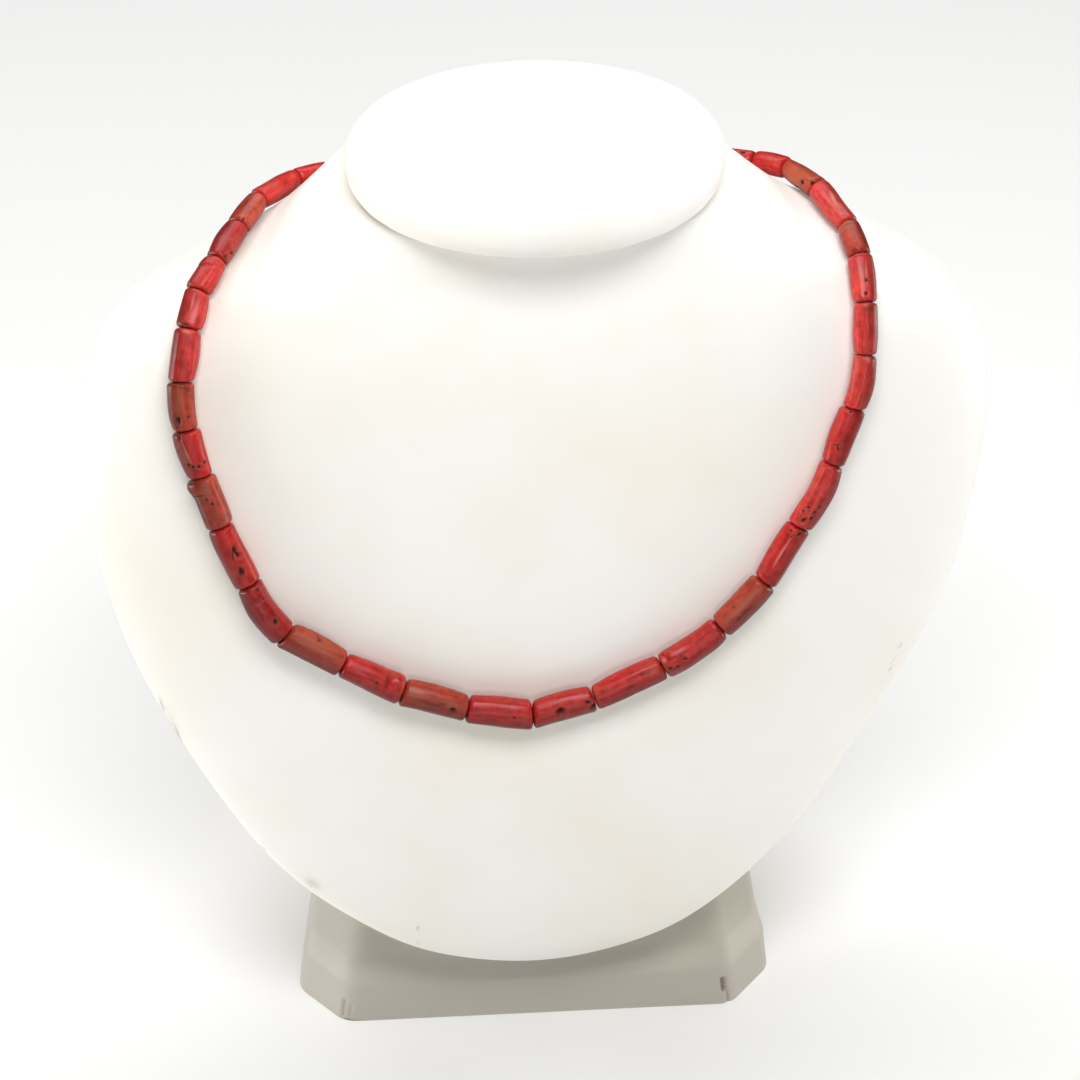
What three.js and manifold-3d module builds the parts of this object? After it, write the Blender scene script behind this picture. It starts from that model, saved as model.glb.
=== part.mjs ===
// Red coral bead necklace resting on a leatherette display bust.
// Millimetres. X runs to the right as seen from the front, Y backwards and Z up.
// The origin is the centre of the pedestal's underside.
import * as THREE from "three";
import { mergeVertices } from "three/addons/utils/BufferGeometryUtils.js";
import Module from "manifold-3d";

// Clearance between pieces that touch
const GAP = 0.3;
// Points nearer than this are one point
const WELD = 1e-4;
// Halvings that find a height on the bust
const HALVINGS = 40;

// Level slices of the chest and neck, from the lowest tip up to the neck's top:
// height, half width, y of the widest line, depth in front of that line, depth behind it, x of the middle
const SLICES = [
  [18, 0, -49, 0, 0, -2],
  [22, 22, -48, 5, 10, -2],
  [30, 37, -46, 8.5, 21, -2],
  [44, 52.5, -42, 12, 37, -2.5],
  [65, 66.5, -36.5, 15, 50, -2],
  [90, 79.5, -30, 16.5, 49, -0.5],
  [113, 85, -24.5, 17.5, 43, 0],
  [133, 85.8, -19.5, 18.5, 38, 1],
  [148.5, 81.8, -15.5, 19, 39, 0.5],
  [159, 66.4, -12.5, 19.5, 32, 0],
  [167, 50.8, -10, 20.5, 25.5, 0],
  [176, 37.8, -9, 22, 28.5, 0],
];
// The back of a slice is a superellipse of this power, so that it is nearly flat
const BACK_POWER = 2.8;
const BUST_SIDES = 44;
const BUST_BANDS = 22;

// Oval cap on the neck, a pad that is widest at its equator,
// drawn in below it by the tuck and above it by the round
const CAP = {
  halfWidth: 34.7,
  halfDepth: 29.8,
  y: -9.2,
  height: 12,
  equator: 5.8,
  tuck: 3.2,
  round: 6.5,
};
const CAP_SIDES = 40;
const CAP_ROUND_STEPS = 4;

// The pedestal is turned this far from square with the chest, in degrees
const PEDESTAL_TURN = -3.3;
// Eight-sided levels of the pedestal, from the floor up into the chest:
// height, half width in front and behind, front y, back y, width and depth of the corner cut
const PEDESTAL_LEVELS = [
  [0, 50, 42, -47.5, 47.5, 9.5, 10.5],
  [9.5, 48.8, 41, -46.6, 46.6, 9.5, 10.5],
  [11, 48.2, 40.6, -45.8, 45.8, 9.4, 10.2],
  [14, 47.3, 39.8, -43.6, 43, 9.2, 10],
  [22, 45.8, 38.8, -41.6, 39, 9, 10],
  [40, 44, 38, -38, 28, 9, 9],
  [72, 42.5, 37.5, -34, 10, 9, 8],
];

// Beads: outer round facets, bore and thread
const BEAD_SIDES = 9;
const BORE_DIAMETER = 1.5;
const THREAD_DIAMETER = 0.8;
const THREAD_SIDES = 6;
// Rings along a bead: place as a part of its half length, and the part of its girth there
const BEAD_RINGS = [
  [-1, 0.7],
  [-0.84, 0.97],
  [-0.3, 1],
  [0.3, 1],
  [0.84, 0.97],
  [1, 0.7],
];
const KNOB_SPREAD = 0.3;
const KNOB_WIDTH = 0.8;

// The strand's centre line: height on the skin and bearing round the slice in degrees, 0 at the
// middle of the chest, positive to the right and 180 at the nape
const ROUTE = [
  [163, -180],
  [166, -148],
  [167, -124],
  [167, -106],
  [164.6, -90],
  [161, -75.9],
  [156, -63.2],
  [149, -54.6],
  [141.4, -51.7],
  [123.5, -45.7],
  [102.4, -37.6],
  [96, -29.7],
  [89.7, -21.2],
  [83.6, -2.9],
  [91, 14],
  [98, 22.1],
  [106.8, 28.3],
  [128.5, 36.5],
  [147.8, 44.3],
  [155.2, 52.8],
  [160.4, 65.1],
  [164.8, 92],
  [165, 116],
  [163.4, 148],
];
const ROUTE_STEPS = 40;
// Height of the centre line above the skin
const LIFT = 2.95;

const CORAL = { red: "#bf3a35", rust: "#b4462f", pink: "#cc4f47", deep: "#a62c2c" };

// One row for each bead, from the clasp round by the left to the front and back by the right:
// length, girth, taper, bow towards the inside of the loop, flatness, tone,
// and a knob where the bead has one: place along it, side in degrees and height
const BEADS = [
  [7.2, 4.1, 0, 0, 0.03, "red"],
  [7.4, 4.2, 0.06, 0.2, 0.05, "rust"],
  [8.0, 4.1, -0.04, -0.2, 0.02, "red"],
  [7.6, 4.3, 0.05, 0.1, 0.06, "deep"],
  [7.4, 4.2, -0.06, 0, 0.05, "red"],
  [11.7, 4.3, 0.04, 0.2, 0.03, "red"],
  [8.6, 4.5, 0.05, -0.2, 0.06, "rust"],
  [9.4, 4.6, -0.04, -0.3, 0.04, "deep"],
  [7.2, 4.6, 0.08, 0, 0.05, "pink", [-0.55, 180, 0.3]],
  [7.3, 4.7, 0.04, 0.2, 0.06, "pink"],
  [9.6, 4.9, 0, 0.1, 0.03, "pink"],
  [9.0, 4.7, -0.04, -0.4, 0.05, "rust"],
  [9.3, 4.8, -0.08, -0.3, 0.07, "red"],
  [10.2, 5.0, 0.02, 0, 0.05, "rust", [-0.72, 170, 0.7]],
  [12.6, 5.0, 0.03, -0.2, 0.04, "red"],
  [12.2, 5.2, 0.02, -0.8, 0.03, "deep"],
  [12.5, 5.3, -0.03, 0.3, 0.08, "rust"],
  [12.6, 5.2, 0.06, 0.2, 0.05, "red", [0.74, 30, 0.6]],
  [12.9, 5.3, -0.03, 0.3, 0.06, "rust"],
  [12.7, 5.5, 0.03, 0, 0.07, "red"],
  [12.2, 5.3, -0.02, 0.2, 0.04, "red"],
  [14.4, 5.1, 0.02, 0.1, 0.05, "red"],
  [13.3, 5.2, -0.03, -0.6, 0.04, "red", [-0.6, 40, 0.4]],
  [12.2, 5.1, 0.03, -0.2, 0.06, "rust"],
  [12.7, 4.9, 0.02, 0.1, 0.05, "red"],
  [13.5, 4.8, -0.03, -0.8, 0.04, "pink"],
  [11.3, 4.7, 0.04, 0, 0.06, "red"],
  [10.3, 4.5, -0.02, -0.7, 0.03, "pink"],
  [9.6, 4.4, 0, -0.1, 0.04, "pink"],
  [9.1, 4.6, 0.03, -0.1, 0.05, "pink"],
  [7.2, 4.5, -0.05, 0, 0.05, "rust"],
  [12.0, 4.5, 0.03, 0.2, 0.04, "pink"],
  [10.3, 4.4, -0.09, 0, 0.05, "rust"],
  [7.6, 4.3, -0.04, 0.2, 0.04, "red"],
  [7.6, 4.2, 0.03, 0, 0.05, "red"],
  [8.0, 4.2, 0, -0.2, 0.04, "deep"],
  [8.3, 4.1, 0.05, 0.1, 0.03, "red"],
  [8.1, 4.2, -0.03, 0, 0.06, "rust"],
  [8.0, 4.1, 0.02, 0.1, 0.04, "red"],
];

// Barrel clasp at the nape, two turned halves end to end
const CLASP = { length: 14, radius: 2.1, neckRadius: 1.3, shoulder: 1.5, wall: 2.4 };
const CLASP_SIDES = 12;

const LEATHERETTE = { color: "#f4f1e8", roughness: 0.55, metalness: 0 };
const GOLD_PLATE = { color: "#c9a24a", roughness: 0.3, metalness: 1 };
const COTTON = { color: "#e8dfcf", roughness: 0.9, metalness: 0 };

const wasm = await Module();
wasm.setup();
const part = new THREE.Group();

function addPiece(name, geometry, finish) {
  geometry.computeVertexNormals();
  const mesh = new THREE.Mesh(geometry, new THREE.MeshStandardMaterial(finish));
  mesh.name = name;
  part.add(mesh);
  return mesh;
}

// Surface through rings of equally many points, each ring seen from its end running the same way.
// Open rows of rings are closed by a fan at both ends, and a ringed loop joins its last ring to its first.
function loft(rings, loop = false) {
  const sides = rings[0].length;
  const points = rings.flat();
  const faces = [];
  const bands = loop ? rings.length : rings.length - 1;
  for (let i = 0; i < bands; i++) {
    const low = i * sides;
    const high = ((i + 1) % rings.length) * sides;
    for (let k = 0; k < sides; k++) {
      const next = (k + 1) % sides;
      faces.push(low + k, low + next, high + next, low + k, high + next, high + k);
    }
  }
  if (!loop) {
    const last = (rings.length - 1) * sides;
    for (let k = 1; k < sides - 1; k++) {
      faces.push(0, k + 1, k, last, last + k, last + k + 1);
    }
  }
  const whole = new THREE.BufferGeometry().setFromPoints(points);
  whole.setIndex(faces);
  return dropSlivers(mergeVertices(whole, WELD));
}

// Triangles that a ring shrunk to a point leaves without area are taken out
function dropSlivers(geometry) {
  const index = geometry.index.array;
  const kept = [];
  for (let i = 0; i < index.length; i += 3) {
    const [a, b, c] = [index[i], index[i + 1], index[i + 2]];
    if (a !== b && b !== c && c !== a) kept.push(a, b, c);
  }
  return geometry.setIndex(kept);
}

function solidOf(geometry) {
  return new wasm.Manifold(
    new wasm.Mesh({
      numProp: 3,
      vertProperties: geometry.attributes.position.array,
      triVerts: new Uint32Array(geometry.index.array),
    }),
  );
}

function geometryOf(solid) {
  const { vertProperties, triVerts } = solid.getMesh();
  return new THREE.BufferGeometry()
    .setAttribute("position", new THREE.BufferAttribute(vertProperties, 3))
    .setIndex(new THREE.BufferAttribute(triVerts, 1));
}

// Uniform cubic through p1 and p2 with slopes from the neighbours
function cubic(p0, p1, p2, p3, f) {
  const square = 2 * p0 - 5 * p1 + 4 * p2 - p3;
  const cube = 3 * p1 - p0 - 3 * p2 + p3;
  return 0.5 * (2 * p1 + (p2 - p0) * f + square * f * f + cube * f ** 3);
}

// A slice row, with one mirrored below the tip so that the tip is round, and one beyond the neck
function sliceRow(i) {
  const last = SLICES.length - 1;
  if (i < 0) {
    const [z, halfWidth, y, front, back, x] = SLICES[1];
    return [z, -halfWidth, y, -front, -back, x];
  }
  if (i > last) return SLICES[last].map((v, k) => 2 * v - SLICES[last - 1][k]);
  return SLICES[i];
}

// Slice at t, 0 at the lowest tip and 1 at the neck's top
function slice(t) {
  const last = SLICES.length - 1;
  const x = Math.min(Math.max(t, 0), 1) * last;
  const i = Math.min(Math.floor(x), last - 1);
  const rows = [i - 1, i, i + 1, i + 2].map(sliceRow);
  return SLICES[0].map((_, k) => cubic(...rows.map((row) => row[k]), x - i));
}

// Point of the bust's skin at t and a bearing in radians
function skin(t, bearing) {
  const [z, halfWidth, y, front, back, x] = slice(t);
  const sine = Math.sin(bearing);
  const cosine = Math.cos(bearing);
  if (cosine >= 0) return new THREE.Vector3(x + halfWidth * sine, y - front * cosine, z);
  const power = 2 / BACK_POWER;
  const across = halfWidth * Math.sign(sine) * Math.abs(sine) ** power;
  return new THREE.Vector3(x + across, y + back * Math.abs(cosine) ** power, z);
}

// Outward direction of the skin, from the difference of near points
function skinNormal(t, bearing) {
  const dt = 0.004;
  const turn = 0.02;
  const round = skin(t, bearing + turn).sub(skin(t, bearing - turn));
  const rise = skin(Math.min(t + dt, 1), bearing).sub(skin(t - dt, bearing));
  return round.cross(rise).normalize();
}

// t of the slice at a height, found by halving
function heightToT(z) {
  let low = 0;
  let high = 1;
  for (let i = 0; i < HALVINGS; i++) {
    const mid = (low + high) / 2;
    if (slice(mid)[0] < z) low = mid;
    else high = mid;
  }
  return low;
}

// The bust's skin, or one moved outwards by grow
function bustGeometry(grow = 0) {
  const rings = [];
  for (let i = 0; i <= BUST_BANDS; i++) {
    const t = i / BUST_BANDS;
    const ring = [];
    for (let k = 0; k < BUST_SIDES; k++) {
      const bearing = (2 * Math.PI * k) / BUST_SIDES;
      const point = skin(t, bearing);
      if (grow && i > 0) point.addScaledVector(skinNormal(t, bearing), grow);
      if (grow && i === 0) point.z -= grow;
      ring.push(point);
    }
    rings.push(ring);
  }
  return loft(rings);
}

function capGeometry() {
  const base = SLICES.at(-1)[0] + GAP;
  const { halfWidth, halfDepth, y, height, equator, tuck, round } = CAP;
  const oval = (inset, z) =>
    Array.from({ length: CAP_SIDES }, (_, k) => {
      const bearing = (2 * Math.PI * k) / CAP_SIDES;
      const x = (halfWidth - inset) * Math.sin(bearing);
      return new THREE.Vector3(x, y - (halfDepth - inset) * Math.cos(bearing), base + z);
    });
  const rings = [];
  for (let i = 0; i < CAP_ROUND_STEPS; i++) {
    const angle = (Math.PI / 2) * (i / CAP_ROUND_STEPS);
    rings.push(oval(tuck * (1 - Math.sin(angle)), equator * (1 - Math.cos(angle))));
  }
  for (let i = 0; i <= CAP_ROUND_STEPS; i++) {
    const angle = (Math.PI / 2) * (i / CAP_ROUND_STEPS);
    rings.push(oval(round * (1 - Math.cos(angle)), equator + (height - equator) * Math.sin(angle)));
  }
  return loft(rings);
}

// Tapered eight-sided foot, hollowed on top to seat the chest
function pedestalGeometry() {
  const rings = PEDESTAL_LEVELS.map(([z, wide, narrow, front, back, cutX, cutY]) =>
    [
      [-wide + cutX, front],
      [wide - cutX, front],
      [wide, front + cutY],
      [narrow, back - cutY],
      [narrow - cutX, back],
      [-narrow + cutX, back],
      [-narrow, back - cutY],
      [-wide, front + cutY],
    ].map(([x, y]) => new THREE.Vector3(x, y, z)),
  );
  const foot = loft(rings).rotateZ(THREE.MathUtils.degToRad(PEDESTAL_TURN));
  return geometryOf(solidOf(foot).subtract(solidOf(bustGeometry(GAP))));
}

// Closed centre line of the strand: points LIFT above the skin with their outward directions
function strandLine() {
  const count = ROUTE.length;
  const stop = (i, k) => {
    const wraps = Math.floor(i / count);
    return ROUTE[i - wraps * count][k] + (k === 1 ? 360 * wraps : 0);
  };
  const line = [];
  for (let i = 0; i < count; i++) {
    for (let j = 0; j < ROUTE_STEPS; j++) {
      const [z, degrees] = [0, 1].map((k) =>
        cubic(stop(i - 1, k), stop(i, k), stop(i + 1, k), stop(i + 2, k), j / ROUTE_STEPS),
      );
      const t = heightToT(z);
      const bearing = THREE.MathUtils.degToRad(degrees);
      const outward = skinNormal(t, bearing);
      line.push({ point: skin(t, bearing).addScaledVector(outward, LIFT), outward });
    }
  }
  return line;
}

// Points of the line at given lengths from its start, with their outward directions
function pointsAlong(line, lengths) {
  const run = [0];
  for (let i = 0; i < line.length; i++) {
    run.push(run[i] + line[i].point.distanceTo(line[(i + 1) % line.length].point));
  }
  const total = run.at(-1);
  return lengths(total).map((length) => {
    const i = run.findIndex((r) => r > length) - 1;
    const f = (length - run[i]) / (run[i + 1] - run[i]);
    const [a, b] = [line[i], line[(i + 1) % line.length]];
    return {
      point: a.point.clone().lerp(b.point, f),
      outward: a.outward.clone().lerp(b.outward, f).normalize(),
    };
  });
}

// The bead ends round the loop: the row of beads fills what the clasp leaves
function beadEnds() {
  return pointsAlong(strandLine(), (total) => {
    const stretch = (total - CLASP.length) / BEADS.reduce((sum, [length]) => sum + length, 0);
    const ends = [CLASP.length / 2];
    for (const [length] of BEADS) ends.push(ends.at(-1) + length * stretch);
    return ends;
  });
}

// Frame with X from start to end and Z away from the skin, set midway
function betweenEnds(start, end) {
  const along = end.point.clone().sub(start.point).normalize();
  const outward = start.outward.clone().add(end.outward);
  const across = outward.cross(along).normalize();
  const up = along.clone().cross(across);
  const middle = start.point.clone().lerp(end.point, 0.5);
  return new THREE.Matrix4().makeBasis(along, across, up).setPosition(middle);
}

// Slopes of a bead's end face against Y and Z where the faces of two beads share the turn at their joint
function mitre(frame, before, after) {
  const [along, across, up] = [0, 1, 2].map((k) => new THREE.Vector3().setFromMatrixColumn(frame, k));
  const share = before.clone().normalize().add(after.clone().normalize());
  return { y: -share.dot(across) / share.dot(along), z: -share.dot(up) / share.dot(along) };
}

// A bead along X with a straight bore: a bowed, tapered, slightly flat barrel with at most one knob,
// whose rings turn from one mitred end face to the other
function beadGeometry(length, first, second, [, girth, taper, bow, flat, , knob]) {
  const ringAt = (place, radiusAt) =>
    Array.from({ length: BEAD_SIDES }, (_, k) => {
      const angle = (2 * Math.PI * k) / BEAD_SIDES;
      const [radius, shift] = radiusAt(angle);
      const y = shift + radius * Math.cos(angle);
      const z = radius * Math.sin(angle);
      const lean = THREE.MathUtils.lerp(
        first.y * y + first.z * z,
        second.y * y + second.z * z,
        (1 + place) / 2,
      );
      return new THREE.Vector3((place * length) / 2 + lean, y, z);
    });
  const rings = BEAD_RINGS.map(([place, round]) =>
    ringAt(place, (angle) => {
      let radius = (girth / 2) * round * (1 + taper * place) * (1 + flat * Math.cos(2 * angle));
      if (knob) radius += knobHeight(knob, place, angle);
      return [radius, bow * (1 - place * place)];
    }),
  );
  const bore = [1, -1].map((place) => ringAt(place, () => [BORE_DIAMETER / 2, 0]));
  return loft([...rings, ...bore], true);
}

function knobHeight([at, side, height], place, angle) {
  const along = (place - at) / KNOB_SPREAD;
  const turn = angle - THREE.MathUtils.degToRad(side);
  const round = Math.atan2(Math.sin(turn), Math.cos(turn)) / KNOB_WIDTH;
  return height * Math.exp(-along * along - round * round);
}

// Thread through every bore, both ends held in the clasp
function threadGeometry(points) {
  const rings = points.map((point, i) => {
    const before = points[Math.max(i - 1, 0)];
    const after = points[Math.min(i + 1, points.length - 1)];
    const along = after.clone().sub(before).normalize();
    const across = new THREE.Vector3(0, 0, 1).cross(along).normalize();
    const up = along.clone().cross(across);
    return Array.from({ length: THREAD_SIDES }, (_, k) => {
      const angle = (2 * Math.PI * k) / THREAD_SIDES;
      return point
        .clone()
        .addScaledVector(across, (THREAD_DIAMETER / 2) * Math.cos(angle))
        .addScaledVector(up, (THREAD_DIAMETER / 2) * Math.sin(angle));
    });
  });
  return loft(rings);
}

// One half of the clasp, turned about Y from its inner face, with a blind hole for the thread
function claspHalfGeometry(length) {
  const { radius, neckRadius, shoulder, wall } = CLASP;
  const hole = BORE_DIAMETER / 2;
  const profile = [
    [0, GAP / 2],
    [radius, GAP / 2],
    [radius, length - shoulder],
    [neckRadius, length],
    [hole, length],
    [hole, wall],
    [0, wall],
  ].map(([r, y]) => new THREE.Vector2(r, y));
  const turned = new THREE.LatheGeometry(profile, CLASP_SIDES);
  turned.deleteAttribute("normal");
  turned.deleteAttribute("uv");
  return dropSlivers(mergeVertices(turned, WELD));
}

addPiece("bust_form", bustGeometry(), LEATHERETTE);
addPiece("neck_cap", capGeometry(), LEATHERETTE);
addPiece("pedestal", pedestalGeometry(), LEATHERETTE);

const ends = beadEnds();
const claspRun = ends[0].point.clone().sub(ends.at(-1).point);
const beadRuns = BEADS.map((_, i) => ends[i + 1].point.clone().sub(ends[i].point));
BEADS.forEach((bead, i) => {
  const frame = betweenEnds(ends[i], ends[i + 1]);
  const first = mitre(frame, beadRuns[i - 1] ?? claspRun, beadRuns[i]);
  const second = mitre(frame, beadRuns[i], beadRuns[i + 1] ?? claspRun);
  const name = `bead_${String(i + 1).padStart(2, "0")}`;
  const finish = { color: CORAL[bead[5]], roughness: 0.28, metalness: 0 };
  const mesh = addPiece(name, beadGeometry(beadRuns[i].length() - GAP, first, second, bead), finish);
  frame.decompose(mesh.position, mesh.quaternion, mesh.scale);
});

const claspFrame = betweenEnds(ends.at(-1), ends[0]);
const claspMiddle = new THREE.Vector3().setFromMatrixPosition(claspFrame);
const claspAxis = new THREE.Vector3().setFromMatrixColumn(claspFrame, 0);
const claspHalf = ends.at(-1).point.distanceTo(ends[0].point) / 2;
const threadReach = CLASP.wall + GAP;
for (const [name, side] of [
  ["clasp_socket", -1],
  ["clasp_screw", 1],
]) {
  const mesh = addPiece(name, claspHalfGeometry(claspHalf - GAP / 2), GOLD_PLATE);
  mesh.position.copy(claspMiddle);
  mesh.quaternion.setFromUnitVectors(
    new THREE.Vector3(0, 1, 0),
    claspAxis.clone().multiplyScalar(side),
  );
}

addPiece(
  "thread",
  threadGeometry([
    claspMiddle.clone().addScaledVector(claspAxis, threadReach),
    ...ends.map(({ point }) => point),
    claspMiddle.clone().addScaledVector(claspAxis, -threadReach),
  ]),
  COTTON,
);

export default part;
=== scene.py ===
"""Red coral bead necklace resting on a leatherette display bust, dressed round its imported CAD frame.

The tables hold millimetres, as the CAD does, and meshes are written in metres. X runs to the right as
seen from the front, Y backwards and Z up, from the centre of the pedestal's underside.
"""

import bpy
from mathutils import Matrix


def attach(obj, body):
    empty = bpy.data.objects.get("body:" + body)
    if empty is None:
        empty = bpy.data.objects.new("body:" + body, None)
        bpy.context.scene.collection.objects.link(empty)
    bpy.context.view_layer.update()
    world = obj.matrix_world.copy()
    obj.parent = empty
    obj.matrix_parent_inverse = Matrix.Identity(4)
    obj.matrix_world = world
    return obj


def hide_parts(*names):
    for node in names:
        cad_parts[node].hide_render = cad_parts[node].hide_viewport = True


bl_info = {
    "name": "Coral necklace on a display bust",
    "version": (1, 0, 0),
    "blender": (4, 5, 0),
    "location": "View3D > Sidebar > Necklace",
    "description": "Builds a coral bead necklace, its thread and clasp, and the bust that it rests on",
    "category": "Add Mesh",
}

import math

import bpy
import numpy as np
from bpy.props import FloatProperty, FloatVectorProperty, PointerProperty
from mathutils import Matrix, Vector

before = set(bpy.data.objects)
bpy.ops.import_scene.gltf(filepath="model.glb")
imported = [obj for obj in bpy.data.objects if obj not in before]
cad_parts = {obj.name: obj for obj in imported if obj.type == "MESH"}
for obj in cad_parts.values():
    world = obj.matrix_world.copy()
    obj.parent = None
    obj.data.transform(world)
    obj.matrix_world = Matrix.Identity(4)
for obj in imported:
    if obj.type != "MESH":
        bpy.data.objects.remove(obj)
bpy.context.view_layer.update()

MM = 0.001

# Level slices of the chest and neck, from the lowest tip up to the neck's top:
# height, half width, y of the widest line, depth in front of that line, depth behind it, x of the middle
SLICES = np.array(
    [
        (18, 0, -49, 0, 0, -2),
        (22, 22, -48, 5, 10, -2),
        (30, 37, -46, 8.5, 21, -2),
        (44, 52.5, -42, 12, 37, -2.5),
        (65, 66.5, -36.5, 15, 50, -2),
        (90, 79.5, -30, 16.5, 49, -0.5),
        (113, 85, -24.5, 17.5, 43, 0),
        (133, 85.8, -19.5, 18.5, 38, 1),
        (148.5, 81.8, -15.5, 19, 39, 0.5),
        (159, 66.4, -12.5, 19.5, 32, 0),
        (167, 50.8, -10, 20.5, 25.5, 0),
        (176, 37.8, -9, 22, 28.5, 0),
    ],
    float,
)
# The back of a slice is a superellipse of this power, so that it is nearly flat
BACK_POWER = 2.8
BUST_ROWS = 170
BUST_COLUMNS = 260
NECK_ROWS = 5
# Slices from which a height on the bust is read back
HEIGHT_SAMPLES = 4001
# Bearing of the seam where the cover's front is turned over the back panel, the seam's width, and the part
# of the way up over which it starts
SEAM_BEARING = 128
SEAM_WIDTH = 1.1
SEAM_START = 0.1

# Oval cap on the neck, a pad that is widest at its equator,
# drawn in below it by the tuck and above it by the round
CAP = {
    "half_width": 34.7,
    "half_depth": 29.8,
    "y": -9.2,
    "height": 12,
    "equator": 5.8,
    "tuck": 3.2,
    "round": 6.5,
}
CAP_CROWN = 0.35
CAP_COLUMNS = 240
# Rows of the cap's underside, of its edge below and above the equator, and of its top
CAP_ROWS = (6, 19, 24, 24)
# Gathers of the cover round the cap's lower edge
PLEATS = 27
PLEAT_DEPTH = 0.14
PLEAT_HEIGHT = 1.7
# Waves round the cap that space the gathers unevenly: how many, and their reach in radians
PLEAT_DRIFT = ((3, 1.3), (5, 0.8))

# The pedestal is turned this far from square with the chest, in degrees
PEDESTAL_TURN = -3.3
# Eight-sided levels of the pedestal, from the floor up into the chest:
# height, half width in front and behind, front y, back y, width and depth of the corner cut
PEDESTAL_LEVELS = np.array(
    [
        (0, 50, 42, -47.5, 47.5, 9.5, 10.5),
        (9.5, 48.8, 41, -46.6, 46.6, 9.5, 10.5),
        (11, 48.2, 40.6, -45.8, 45.8, 9.4, 10.2),
        (14, 47.3, 39.8, -43.6, 43, 9.2, 10),
        (22, 45.8, 38.8, -41.6, 39, 9, 10),
        (40, 44, 38, -38, 28, 9, 9),
        (72, 42.5, 37.5, -34, 10, 9, 8),
    ],
    float,
)
# Reach of a corner's rounding along its two sides, and the columns on one corner and one side
CORNER_REACH = 2.6
CORNER_COLUMNS = 21
SIDE_COLUMNS = 24
# Rows of the wall, crowded towards the foot by a power, of the seat under the bust, and of the underside,
# these as parts of the foot's outline
WALL_ROWS = 80
WALL_CROWDING = 1.6
SEAT_ROWS = 14
FOOT_ROWS = (0, 0.5, 0.9, 0.985)
SEAT_MIDDLE = (0, -10)
# Heights at which the levels, the wall's upper end and the seat are looked up
LEVEL_SAMPLES = 1441
WALL_SAMPLES = 300
SEAT_SAMPLES = 260
# Length over which the rim's edges are softened
RIM_SOFTNESS = 0.5
# Clearance between pieces that touch
GAP = 0.3
# Folds of the cover at the front corners: corner, place round the wall from the corner's middle,
# heights where it starts and ends, depth, width and strength of the dirt in it
FOLDS = [
    (0, -0.9, 0, 5.5, 0.3, 0.5, 0.55),
    (0, 0.7, 0.8, 4.6, 0.2, 0.45, 0.35),
    (0, 0.6, -1, 0.9, 0.1, 1.6, 1),
    (1, -0.8, 2.6, 7.2, 0.7, 0.6, 1),
    (1, -0.2, -1, 3.4, 0.35, 0.4, 0.6),
]
# Height over which a fold fades at its ends
FOLD_FADE = 0.8

# The strand's centre line: height on the skin and bearing round the slice in degrees, 0 at the
# middle of the chest, positive to the right and 180 at the nape
ROUTE = np.array(
    [
        (163, -180),
        (166, -148),
        (167, -124),
        (167, -106),
        (164.6, -90),
        (161, -75.9),
        (156, -63.2),
        (149, -54.6),
        (141.4, -51.7),
        (123.5, -45.7),
        (102.4, -37.6),
        (96, -29.7),
        (89.7, -21.2),
        (83.6, -2.9),
        (91, 14),
        (98, 22.1),
        (106.8, 28.3),
        (128.5, 36.5),
        (147.8, 44.3),
        (155.2, 52.8),
        (160.4, 65.1),
        (164.8, 92),
        (165, 116),
        (163.4, 148),
    ],
    float,
)
ROUTE_STEPS = 40
# Height of the centre line above the skin
LIFT = 2.95

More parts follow.
